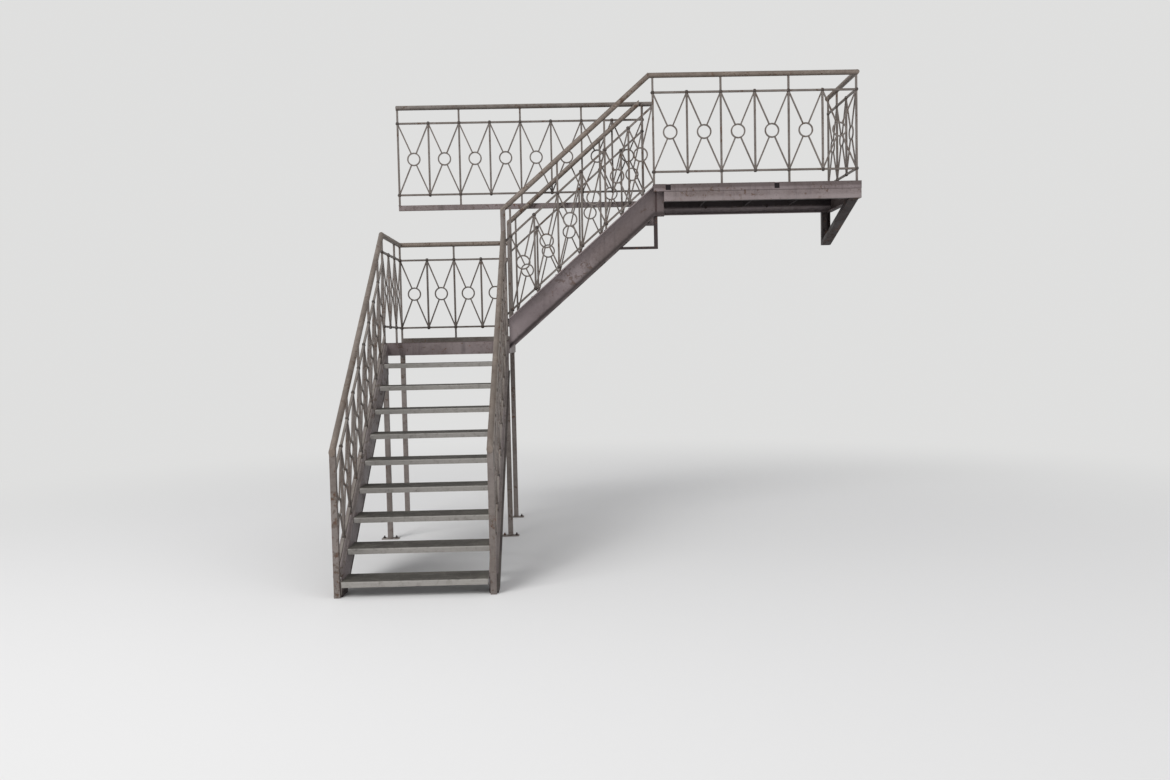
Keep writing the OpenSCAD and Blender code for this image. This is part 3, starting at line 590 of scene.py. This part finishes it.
# Decks are trodden in the middle and keep dust along the guards. The folded front edge is darker down to
# lipDrop under the top, and lipDepth is how far behind the front that goes
deckFinish = dict(
    paint=(0.158, 0.124, 0.126), faded=(0.214, 0.177, 0.18), patchScale=2.6,
    grime=(0.042, 0.034, 0.033), bare=(0.09, 0.048, 0.031), runs=0.5, chips=0.9,
    stain=(0.112, 0.086, 0.076), chipCover=0.014, peelCover=0.005, edges=0.55,
    corners=0.45, dust=0.48, rust=0.26, rustScale=6.0, under=0.9,
    top=(0.06, 0.054, 0.047), trodden=(0.042, 0.037, 0.033), lip=(0.072, 0.053, 0.051),
    drag=(12.0, 16.0, 12.0), driftScale=4.0, walkedAmount=0.85, troddenAmount=0.6,
    lipDepth=(0.003, 0.001), lipDrop=(0.044, 0.026), lipAmount=0.75,
)


def makeDeckPaint(name, finish, low, high):
    paint = startPaint(name, finish)
    at = parts(paint.place)
    slow = speckle(paint.place, "deck")
    middle = []
    for axis, a, b in (("X", low[0], high[0]), ("Y", low[1], high[1])):
        off = over(maths("ABSOLUTE", minus(at[axis], (a + b) / 2)), (b - a) / 2)
        middle.append(fade(wobble(off, slow, 0.7), 0.85, 0.45))
    flat = fade(facing(paint.tree)["Z"], 0.5, 0.9)
    walked = walkedDirt(paint.tree, **finish)
    cover(paint, times(flat, finish["walkedAmount"]), walked["Colour"], 1.0)
    paint.height = plus(paint.height, times(flat, walked["Height"]))
    lip = times(fade(at["Y"], *(low[1] + d for d in finish["lipDepth"])), finish["lipAmount"])
    lip = times(lip, fade(at["Z"], *(high[2] - d for d in finish["lipDrop"])))
    cover(paint, times(lip, fade(slow, 0.2, 0.6, 0.5, 1.0)), finish["lip"])
    layDust(paint, amount=finish["dust"], driftScale=finish["driftScale"])
    cover(paint, times(times(times(*middle), flat), finish["troddenAmount"]), finish["trodden"])
    return finishPaint(paint, dusty=False)


paints = {}
for name, run in stringerRuns.items():
    paints[name] = makeStringerPaint(name, run, bandSettings)
for name, finish in paintFinishes.items():
    paints[name] = finishPaint(startPaint(name, finish))
paints["railPaint"] = makeRailPaint("railPaint", railFinish)
for name, flight in flights.items():
    paints[name + "TreadPaint"] = makeTreadPaint(name + "TreadPaint", treadFinish, flight)
paints["landingDeckPaint"] = makeDeckPaint("landingDeckPaint", deckFinish, *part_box("landing_deck"))
paints["platformDeckPaint"] = makeDeckPaint("platformDeckPaint", deckFinish, *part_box("platform_deck"))
for name, (finishName, patches) in patchedPaints.items():
    paints[name] = makePatchedPaint(name, finishName, patches)

# a node takes the first paint here whose words are part of its name
nodePaints = {
    "lower_stringer": "lowerStringerPaint", "upper_stringer_front": "upperStringerPaint",
    "upper_stringer_wall": "stringerPaint", "platform_front_beam": "frontBeamPaint",
    "platform_back_beam": "backBeamPaint", "platform_cross_beams": "joistPaint",
    "landing_deck": "landingDeckPaint", "platform_deck": "platformDeckPaint", "landing_legs": "postPaint",
    "posts": "postPaint", "wall_bracket": "wallBracketPaint", "knee_brace": "bracketPaint",
    "lower_tread": "lowerTreadPaint", "upper_tread": "upperTreadPaint", "handrail": "railPaint",
    "guard": "guardPaint", "": "beamPaint",
}
for name, node in nodes.items():
    node.data.materials.clear()
    node.data.materials.append(paints[next(paint for words, paint in nodePaints.items() if words in name)])
print("CAD nodes painted")

landingRail = stair.landingTop + stair.railHeight
platformRail = stair.platformTop + stair.railHeight
lowerRailSlope = (landingRail - stair.footRailHeight) / (-stair.flightDepth - stair.footPostY)


def lowerEdge(y):
    return stair.landingTop - stair.nosingCover + (y - stair.lowerHead) * lowerSlope


def upperEdge(x):
    return flights["upper"]["top"] - stair.nosingCover + (x - flights["upper"]["first"]) * upperSlope


def lowerRail(y):
    return stair.footRailHeight + (y - stair.footPostY) * lowerRailSlope


def upperRail(x):
    return upperEdge(x) + stair.slopeRail


def wallRail(x):
    return np.minimum(upperRail(x), stair.galleryRail)


# Each guard: the axis that it runs along, its fixed coordinate, its ends and bays, whether its end uprights
# are its own, its bars' heights above the base line, that line's height and slope, and the rail above it
slopeBars = (0.045, 0.65)
onLowerFlight = (slopeBars, lowerEdge(-2.691), lowerSlope, lowerRail, lowerRailSlope)
onLanding = ((0.137, 0.752), stair.landingTop, 0.0, lambda at: landingRail, 0.0)
onPlatform = ((0.105, 0.752), stair.platformTop, 0.0, lambda at: platformRail, 0.0)
onGallery = ((0.095, 0.742), stair.galleryFoot, 0.0, lambda at: stair.galleryRail, 0.0)
guardRows = [
    ("Y", 0.0, -2.691, -0.858, 9, (0, 0), *onLowerFlight),
    ("Y", 1.005, -2.691, -0.87, 9, (0, 0), *onLowerFlight),
    ("Y", 0.0, -0.85, -0.008, 3, (1, 0), *onLanding),
    ("X", 0.0, 0.0, 0.985, 4, (1, 0), *onLanding),
    ("X", -0.85, 1.065, 2.253, 6, (1, 0), slopeBars, upperEdge(1.065), upperSlope, upperRail, upperSlope),
    ("X", 0.0, 1.065, 2.237, 6, (1, 1), slopeBars, upperEdge(1.065), upperSlope, wallRail, upperSlope),
    ("X", -0.85, 2.261, 3.947, 6, (1, 1), *onPlatform),
    ("Y", 3.947, -0.842, 0.0, 3, (0, 1), *onPlatform),
    ("X", 0.0424, 0.008, 2.245, 8, (1, 1), *onGallery),
]
unitAxes = {"X": np.array([1.0, 0, 0]), "Y": np.array([0, 1.0, 0])}
upward = np.array([0, 0, 1.0])


def makeGuard(axis, fixed, start, end, bays, own, bars, foot, slope, rail, railSlope):
    own = np.arange(1 - own[0], bays + own[1])
    return SimpleNamespace(
        along=unitAxes[axis], out=unitAxes["Y" if axis == "X" else "X"], fixed=fixed, start=start, bays=bays,
        pitch=(end - start) / bays, own=own, places=start + own * (end - start) / bays,
        bars=bars, foot=foot, slope=slope, rail=rail, railSlope=railSlope)


guards = [makeGuard(*row) for row in guardRows]


# points of a guard's own plane (along, height), moved out of it by off, as points in space
def inSpace(guard, along, height, off=0.0):
    along, height, off = (v[..., None] for v in np.broadcast_arrays(along, height, off))
    return along * guard.along + (guard.fixed + off) * guard.out + height * upward


# points (along, height) that are so many bays along a guard, at a height above its base line
def onSlope(guard, bays, height):
    along = bays * guard.pitch
    return guard.start + along, guard.foot + along * guard.slope + height


def unit(v):
    v = np.asarray(v, float)
    return v / np.linalg.norm(v, axis=-1, keepdims=True)


def aroundTurn(steps):
    return np.linspace(0, 2 * np.pi, steps, endpoint=False)


# Rows of points round each path: path + r (cos(t) side + sin(t) top), both square to the path's direction.
# paths is copies x steps x 3, and up is a direction that no path takes
def sweep(paths, up, radius, sides, closed):
    paths = np.asarray(paths, float)
    ahead = unit(np.roll(paths, -1, 1) - np.roll(paths, 1, 1) if closed else np.gradient(paths, axis=1))
    side = unit(np.cross(ahead, np.broadcast_to(up, ahead.shape)))
    top = np.cross(side, ahead)
    turn = aroundTurn(sides)[:, None]
    r = np.broadcast_to(radius, paths.shape[:2])[..., None, None]
    return paths[:, :, None] + r * (np.cos(turn) * side[:, :, None] + np.sin(turn) * top[:, :, None])


# Faces of copies x rows x columns of points: columns close on themselves, and rows close too or end in a
# fan. A copy whose signed volume is negative is turned so that it faces outward
def gridFaces(points, closed):
    copies, rows, cols = points.shape[:3]
    index = np.arange(copies * rows * cols).reshape(copies, rows, cols)
    nextCol = np.roll(index, -1, 2)
    if closed:
        quads = np.stack([index, nextCol, np.roll(nextCol, -1, 1), np.roll(index, -1, 1)], -1)
    else:
        quads = np.stack([index[:, :-1], nextCol[:, :-1], nextCol[:, 1:], index[:, 1:]], -1)
    verts = points.reshape(-1, 3)
    quads = quads.reshape(copies, -1, 4)
    tris = np.zeros((copies, 0, 3), int)
    if not closed:
        low = len(verts) + np.arange(copies)[:, None] + np.zeros(cols, int)
        verts = np.concatenate([verts, points[:, 0].mean(1), points[:, -1].mean(1)])
        tris = np.concatenate([np.stack([nextCol[:, 0], index[:, 0], low], -1),
                               np.stack([index[:, -1], nextCol[:, -1], low + copies], -1)], 1)
    split = np.concatenate([quads[..., [0, 1, 2]], quads[..., [0, 2, 3]], tris], 1)
    corner = verts[split] - points.mean((1, 2))[:, None, None]
    volume = (corner[:, :, 0] * np.cross(corner[:, :, 1], corner[:, :, 2])).sum((1, 2))
    quads[volume < 0] = quads[volume < 0][..., ::-1]
    tris[volume < 0] = tris[volume < 0][..., ::-1]
    return verts, quads.reshape(-1, 4), tris.reshape(-1, 3)


# shapes are pairs of points and whether their rows close on themselves
def makePiece(name, shapes, paint, slot, sharpAngle):
    verts, faces, start = [], [], 0
    for points, closed in shapes:
        v, quads, tris = gridFaces(points, closed)
        verts.append(v)
        faces += (quads + start).tolist() + (tris + start).tolist()
        start += len(v)
    mesh = bpy.data.meshes.new(name)
    mesh.from_pydata(np.concatenate(verts).tolist(), [], faces)
    mesh.polygons.foreach_set("use_smooth", np.ones(len(mesh.polygons), bool))
    mesh.set_sharp_from_angle(angle=math.radians(sharpAngle))
    mesh.materials.append(paints[paint])
    mesh.update()
    piece = addObject(name, mesh)
    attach(piece, "root")
    print("piece:", name, len(mesh.polygons), "faces")


ballSettings = dict(pole=1.35, power=0.75)


# Squat balls: centre + (cos(v)^p (a cos(t) + b sin(t)) + c sin(v)) (1 + lumps n), with v from pole to pole
# and n a chance number from -1 to 1 at each point
def squatBalls(centres, axes, rows, cols, lumps=0.0, seed=0):
    a, b, c = (np.broadcast_to(axis, centres.shape)[:, None, None] for axis in axes)
    v = np.linspace(-ballSettings["pole"], ballSettings["pole"], rows)[:, None, None]
    t = aroundTurn(cols)[:, None]
    ball = np.cos(v) ** ballSettings["power"] * (np.cos(t) * a + np.sin(t) * b) + np.sin(v) * c
    chance = np.random.default_rng(seed).uniform(-1, 1, ball.shape[:-1] + (1,))
    return centres[:, None, None] + ball * (1 + lumps * chance)


# knots where a guard's own uprights meet its two bars
knotSettings = dict(radius=0.0172, half=0.0125, rows=7, cols=14, lumps=0.1, seed=200)


def knotShapes(knot):
    for number, guard in enumerate(guards):
        tilt = unit(guard.along + upward * guard.slope)
        axes = (knot["radius"] * tilt, knot["radius"] * np.cross(guard.out, tilt),
                knot["half"] * guard.out)
        for h in guard.bars:
            centres = inSpace(guard, *onSlope(guard, guard.own, h))
            yield squatBalls(centres, axes, knot["rows"], knot["cols"], knot["lumps"],
                             knot["seed"] + number), False


# small weld beads where the crossing bars meet the rings
ringBeadSettings = dict(along=0.006, across=0.0075, half=0.0066, rows=4, cols=8)


def ringBeadShapes(bead):
    for guard in guards:
        k = np.arange(guard.bays)
        centre = np.stack(onSlope(guard, k + 0.5, sum(guard.bars) / 2), -1)
        for side in (0, 1):
            for h in guard.bars:
                way = unit(np.stack(onSlope(guard, k + side, h), -1) - centre)
                spot = centre + way * stair.ringRadius
                axes = ((way[:, :1] * guard.along + way[:, 1:] * upward) * bead["along"],
                        (-way[:, 1:] * guard.along + way[:, :1] * upward) * bead["across"],
                        guard.out * bead["half"])
                balls = squatBalls(inSpace(guard, *spot.T), axes, bead["rows"], bead["cols"])
                yield balls, False


beadSettings = dict(sides=6, corner=6, waves=9, waveHeight=0.13, chance=0.1)


# a rounded square round an upright: (cos(t), sin(t)) over its norm of order corner, times the half side
def squareLoop(half, steps):
    t = aroundTurn(steps)
    order = beadSettings["corner"]
    size = (np.abs(np.cos(t)) ** order + np.abs(np.sin(t)) ** order) ** (1 / order)
    return half * np.cos(t) / size, half * np.sin(t) / size


# the radius of a hand-made weld: r (1 + waveHeight sin(waves t) + chance n), with n from -1 to 1 by chance
def weldRadius(steps, radius, seed):
    rng = np.random.default_rng(seed)
    waves = beadSettings["waveHeight"] * np.sin(aroundTurn(steps) * beadSettings["waves"])
    return radius * (1 + waves + beadSettings["chance"] * rng.uniform(-1, 1, steps))


def weld(paths, up, radius, closed=True):
    return sweep(paths, up, radius, beadSettings["sides"], closed), closed


# beads round the foot and the head of every other upright of a guard, and of its last one
uprightBeadSettings = dict(foot=0.0032, head=0.0026, gap=0.0008, steps=28, footSeed=0, headSeed=40)


def uprightBeadShapes(bead):
    steps = bead["steps"]
    da, off = squareLoop(stair.barSide / 2 + bead["gap"], steps)
    for number, guard in enumerate(guards):
        a = guard.places[(guard.own % 2 == 0) | (guard.own == guard.bays)][:, None] + da
        foot = inSpace(guard, a, guard.foot + (a - guard.start) * guard.slope, off)
        yield weld(foot, upward, weldRadius(steps, bead["foot"], bead["footSeed"] + number))
        under = np.sqrt(stair.railRadius ** 2 - off ** 2) * math.sqrt(1 + guard.railSlope ** 2)
        head = inSpace(guard, a, guard.rail(a) - under, off)
        yield weld(head, upward, weldRadius(steps, bead["head"], bead["headSeed"] + number))


# beads round the newels on the landing, and round the legs on their base plates and under the beams
postBeadSettings = dict(
    half=0.0205, radius=0.0036, steps=56, seed=90,
    places=[
        (1.005, -0.85, 1.637), (1.005, 0.0, 1.637),
        (0.0, 0.0, 0.008), (1.005, 0.0, 0.008), (0.0, -0.86, 0.008), (1.005, -0.86, 0.008),
        (0.0, -0.86, 1.531), (1.005, -0.86, 1.531), (0.0, 0.0, 1.531), (1.005, 0.0, 1.531),
    ],
)


def postBeadShapes(bead):
    steps = bead["steps"]
    x, y = squareLoop(bead["half"], steps)
    for number, place in enumerate(bead["places"]):
        path = np.array(place) + np.stack([x, y, np.zeros(steps)], -1)
        radius = weldRadius(steps, bead["radius"], bead["seed"] + number)
        yield weld(path[None], upward, radius)


# loop where a plane cuts a tube: p + r (cos(t) e1 + sin(t) e2) + s u, with s that puts it in the plane
def tubeLoop(p, u, n, radius, steps):
    u, n = unit(u), unit(n)
    e1 = unit(np.cross(u, upward))
    e2 = np.cross(e1, u)
    t = aroundTurn(steps)[:, None]
    ring = radius * (np.cos(t) * e1 + np.sin(t) * e2)
    return np.asarray(p, float) + ring - u * (ring @ n)[:, None] / (u @ n), n


# beads round the rails' mitres: a mitre's middle, and the tube's direction on either side of it
upperRailEnd = flights["upper"]["first"] + (platformRail - upperRail(flights["upper"]["first"])) / upperSlope
railTurns = [
    ((0, -0.85, landingRail), (0, 1, lowerRailSlope), (0, 1, 0)),
    ((0, 0, landingRail), (0, 1, 0), (1, 0, 0)),
    ((upperRailEnd, -0.85, platformRail), (1, 0, upperSlope), (1, 0, 0)),
    ((stair.guardLast, -0.85, platformRail), (1, 0, 0), (0, 1, 0)),
]
railBeadSettings = dict(radius=0.0018, sunk=0.0004, steps=48, seed=70)


def railBeadShapes(bead):
    steps = bead["steps"]
    for number, (p, u, v) in enumerate(railTurns):
        loop, n = tubeLoop(p, u, unit(u) + unit(v), stair.railRadius - bead["sunk"], steps)
        radius = weldRadius(steps, bead["radius"], bead["seed"] + number)
        yield weld(loop[None], n, radius)


# Domed caps on the open tube ends: rows of the cut loop, shrunk by cos(v)^p and moved out by h sin(v), with
# the first row sunk in the tube. An end has its middle, the tube's direction and the way inwards
railEnds = [
    ((0, -2.729, lowerRail(-2.729)), (0, 1, lowerRailSlope), (0, 1, 0)),
    ((stair.flightWidth, -2.729, lowerRail(-2.729)), (0, 1, lowerRailSlope), (0, 1, 0)),
    ((0.0, stair.galleryY, stair.galleryRail), (1, 0, 0), (1, 0, 0)),
    ((2.34, stair.galleryY, stair.galleryRail), (-1, 0, 0), (-1, 0, 0)),
]
railCapSettings = dict(
    height=0.0045, proud=0.0006, steps=40, rows=(-0.9, 0.0, 0.25, 0.55, 0.85, 1.15, 1.4),
    power=0.35, sunkShrink=0.9, sunkShare=-0.4,
)


def railCapShapes(cap):
    v = np.array(cap["rows"])
    shrink = np.where(v < 0, cap["sunkShrink"], np.cos(v) ** cap["power"])[:, None, None]
    out = np.where(v < 0, cap["sunkShare"], np.sin(v))[:, None, None] * cap["height"]
    for p, u, n in railEnds:
        loop, n = tubeLoop(p, u, n, stair.railRadius + cap["proud"], cap["steps"])
        rows = np.asarray(p) + (loop - np.asarray(p)) * shrink - n * out
        yield rows[None], False


# Bead along the outer fold of a tread at both of its ends: up the front lip, over the fold, along the top
# and down the back lip
treadBeadSettings = dict(depth=0.235, lip=0.036, fold=0.007, folds=6, radius=0.0026, steps=64, seed=5)


def treadOutline(bead):
    depth, lip, r = bead["depth"], bead["lip"], bead["fold"]
    turn = np.linspace(0, np.pi / 2, bead["folds"])
    front = np.stack([r - r * np.cos(turn), -r + r * np.sin(turn)], -1)
    back = np.stack([depth - r + r * np.sin(turn), -r + r * np.cos(turn)], -1)
    outline = np.concatenate([[[0, -lip]], front, back, [[depth, -lip]]])
    # steps at even distances along the outline
    run = np.concatenate([[0], np.cumsum(np.linalg.norm(np.diff(outline, axis=0), axis=1))])
    at = np.linspace(0, run[-1], bead["steps"])
    return np.interp(at, run, outline[:, 0]), np.interp(at, run, outline[:, 1])


def treadBeadShapes(bead):
    run, rise = treadOutline(bead)
    radius = weldRadius(bead["steps"], bead["radius"], bead["seed"])
    for flight in flights.values():
        along, across = unitAxes[flight["run"]], unitAxes[flight["cross"]]
        for i in range(flight["treads"]):
            a = (flight["first"] + i * flight["going"] + run)[:, None]
            z = (flight["top"] + i * flight["riser"] + rise)[:, None]
            for end in flight["ends"]:
                path = a * along + end * across + z * upward
                yield weld(path[None], across, radius, False)


# Turned and six-sided pieces of a bolt: rows of (radius, height), where a nut's radius is divided by
# cos(t) taken within a sixth of a turn
def turned(rows, cols, sixSided):
    t = aroundTurn(cols)
    sixth = (t + np.pi / 6) % (np.pi / 3) - np.pi / 6
    shape = 1 / np.cos(sixth) if sixSided else np.ones(cols)
    rows = np.asarray(rows, float)
    r = rows[:, :1] * shape
    if sixSided:  # the chamfer cuts the corners to a circle at the first and last rows
        r[0], r[-1] = rows[0, 0], rows[-1, 0]
    return np.stack([r * np.cos(t), r * np.sin(t), np.broadcast_to(rows[:, 1:], r.shape)], -1)


boltSettings = dict(
    washer=[(0.0005, 0.0), (0.0115, 0.0), (0.012, 0.0008), (0.0118, 0.0022), (0.007, 0.0024)],
    nut=[(0.0084, 0.0022), (0.0088, 0.0032), (0.0088, 0.0096), (0.0084, 0.0106)],
    stud=[(0.0054, -0.006), (0.0054, 0.0155), (0.005, 0.019), (0.004, 0.02)],
    head=[(0.0105, 0.002), (0.0108, 0.0028), (0.0108, 0.0085), (0.01, 0.0095)],
    roundCols=16, sixSidedCols=24, seed=11,
    anchors=[(x + s * 0.05, y, 0.008) for x in (0.0, 1.005) for y in (0.0, -0.86) for s in (-1, 1)],
    wallBolts=[(0.25125, 0.024, 1.581), (0.75375, 0.024, 1.581), (2.815, 0.024, 2.824),
                  (3.377, 0.024, 2.824), (3.917, 0.024, 2.697), (3.917, 0.024, 2.597)],
)


# anchors stand on the base plates, each nut turned by chance, and a wall bolt's axis is turned to -Y
def boltShapes(bolt):
    rng = np.random.default_rng(bolt["seed"])
    toWall = np.array([[1.0, 0, 0], [0, 0, 1.0], [0, -1.0, 0]])
    for kinds, places in ((("washer", "nut", "stud"), "anchors"), (("washer", "head"), "wallBolts")):
        for kind in kinds:
            six = kind in ("nut", "head")
            proto = turned(bolt[kind], bolt["sixSidedCols" if six else "roundCols"], six)
            for place in bolt[places]:
                turn = toWall
                if places == "anchors":
                    angle = rng.uniform(0, np.pi / 3) if six else 0.0
                    c, s = np.cos(angle), np.sin(angle)
                    turn = np.array([[c, s, 0], [-s, c, 0], [0, 0, 1.0]])
                yield (proto @ turn + np.array(place))[None], False


# Rounded plates that close the platform beams' left ends: (y, z) = sign (half - r) + r (cos(t), sin(t)),
# drawn in by each row's inset, and each row is moved along X by its share of the half thickness
endPlateSettings = dict(
    x=2.3435, half=0.0025, corner=0.0035, steps=24,
    rows=[(-1.0, 0.0012), (-0.5, 0.0), (0.5, 0.0), (1.0, 0.0012)],
    spans=[((-0.8745, 2.7645), (-0.822, 2.8835)), ((-0.029, 2.7645), (0.0245, 2.8835))],
)


def endPlateShapes(plate):
    t = (np.arange(plate["steps"]) + 0.5) * 2 * np.pi / plate["steps"]
    turn = np.stack([np.cos(t), np.sin(t)], -1)
    share, inset = np.array(plate["rows"]).T
    x = (plate["x"] + share * plate["half"])[:, None, None]
    for low, high in np.array(plate["spans"]):
        half = (high - low) / 2
        loop = np.sign(turn) * (half - plate["corner"]) + plate["corner"] * turn
        loop = (low + high) / 2 + loop * (1 - inset[:, None, None] / half)
        yield np.concatenate([np.broadcast_to(x, loop.shape[:-1] + (1,)), loop], -1)[None], False


# each added piece: its shapes, its paint, a slot name, and the angle from which its edges are sharp
pieces = dict(
    guardKnots=(knotShapes(knotSettings), "knotPaint", "guard_paint", 60),
    ringBeads=(ringBeadShapes(ringBeadSettings), "knotPaint", "guard_paint", 80),
    uprightBeads=(uprightBeadShapes(uprightBeadSettings), "knotPaint", "guard_paint", 80),
    postBeads=(postBeadShapes(postBeadSettings), "knotPaint", "beam_paint", 80),
    railBeads=(railBeadShapes(railBeadSettings), "railPaint", "rail_paint", 80),
    railCaps=(railCapShapes(railCapSettings), "railPaint", "rail_paint", 40),
    treadBeads=(treadBeadShapes(treadBeadSettings), "knotPaint", "tread_paint", 80),
    fixingBolts=(boltShapes(boltSettings), "bracketPaint", "bracket_paint", 30),
    beamEndPlates=(endPlateShapes(endPlateSettings), "beamPaint", "beam_paint", 30),
)
for name, piece in pieces.items():
    makePiece(name, *piece)
print("added pieces made")

# the floor fades into the pale background between two distances from fadeCentre
stageSettings = dict(
    floorColour=(0.8, 0.795, 0.79), floorRough=0.9, floorReach=60.0, floorHeight=-0.0005,
    paleColour=(0.74, 0.74, 0.735), paleStrength=1.0, fadeCentre=(1.6, -1.6, 0.0),
    fadeRange=(2.3, 9.0), skyColour=(0.97, 0.98, 1.0), skyStrength=0.55, aim=(1.6, -0.8, 1.8),
    lamps=dict(  # place, power and size
        keyLamp=((-7.5, -12.0, 10.5), 1700, 8.0),
        fillLamp=((13.0, -10.0, 6.0), 370, 9.0),
    ),
)


# puts the pale background in place of a shader for the rays that see it: straight, in gloss or through glass
def showPale(tree, kind, shader, stage, share=None):
    values = {"Color": stage["paleColour"], "Strength": stage["paleStrength"]}
    path = put(tree, "LightPath").outputs
    seen = larger(larger(path["Is Camera Ray"], path["Is Glossy Ray"]), path["Is Transmission Ray"])
    seen = seen if share is None else times(share, seen)
    pale = put(tree, kind, values).outputs[0]
    return put(tree, "MixShader", {0: seen, 1: shader.outputs[0], 2: pale}).outputs[0]


def makeWorld(stage):
    world = bpy.data.worlds.new("softSky")
    bpy.context.scene.world = world
    world.use_nodes = True
    tree = world.node_tree
    sky = tree.nodes["Background"]
    setSockets(sky, {"Color": stage["skyColour"], "Strength": stage["skyStrength"]})
    mixed = showPale(tree, "Background", sky, stage)
    setSockets(tree.nodes["World Output"], {"Surface": mixed})


def makeFloor(stage):
    reach, height = stage["floorReach"], stage["floorHeight"]
    mesh = bpy.data.meshes.new("floor")
    corners = [(x * reach, y * reach, height) for x, y in ((-1, -1), (1, -1), (1, 1), (-1, 1))]
    mesh.from_pydata(corners, [], [(0, 1, 2, 3)])
    floor = addObject("floor", mesh)
    material = bpy.data.materials.new("floorPaint")
    material.use_nodes = True
    tree = material.node_tree
    shader = tree.nodes["Principled BSDF"]
    setSockets(shader, {"Base Color": stage["floorColour"], "Roughness": stage["floorRough"]})
    far = fade(vectors("DISTANCE", objectPlace(tree), stage["fadeCentre"], "Value"), *stage["fadeRange"])
    mixed = showPale(tree, "Emission", shader, stage, far)
    setSockets(tree.nodes["Material Output"], {"Surface": mixed})
    mesh.materials.append(material)


def makeLamps(stage):
    for name, (place, power, size) in stage["lamps"].items():
        data = bpy.data.lights.new(name, "AREA")
        data.energy = power
        data.size = size
        away = Vector(place) - Vector(stage["aim"])
        turn = away.to_track_quat("Z", "Y").to_matrix().to_4x4()
        addObject(name, data).matrix_world = Matrix.Translation(place) @ turn


makeWorld(stageSettings)
makeFloor(stageSettings)
makeLamps(stageSettings)
print("floor and lamps set")
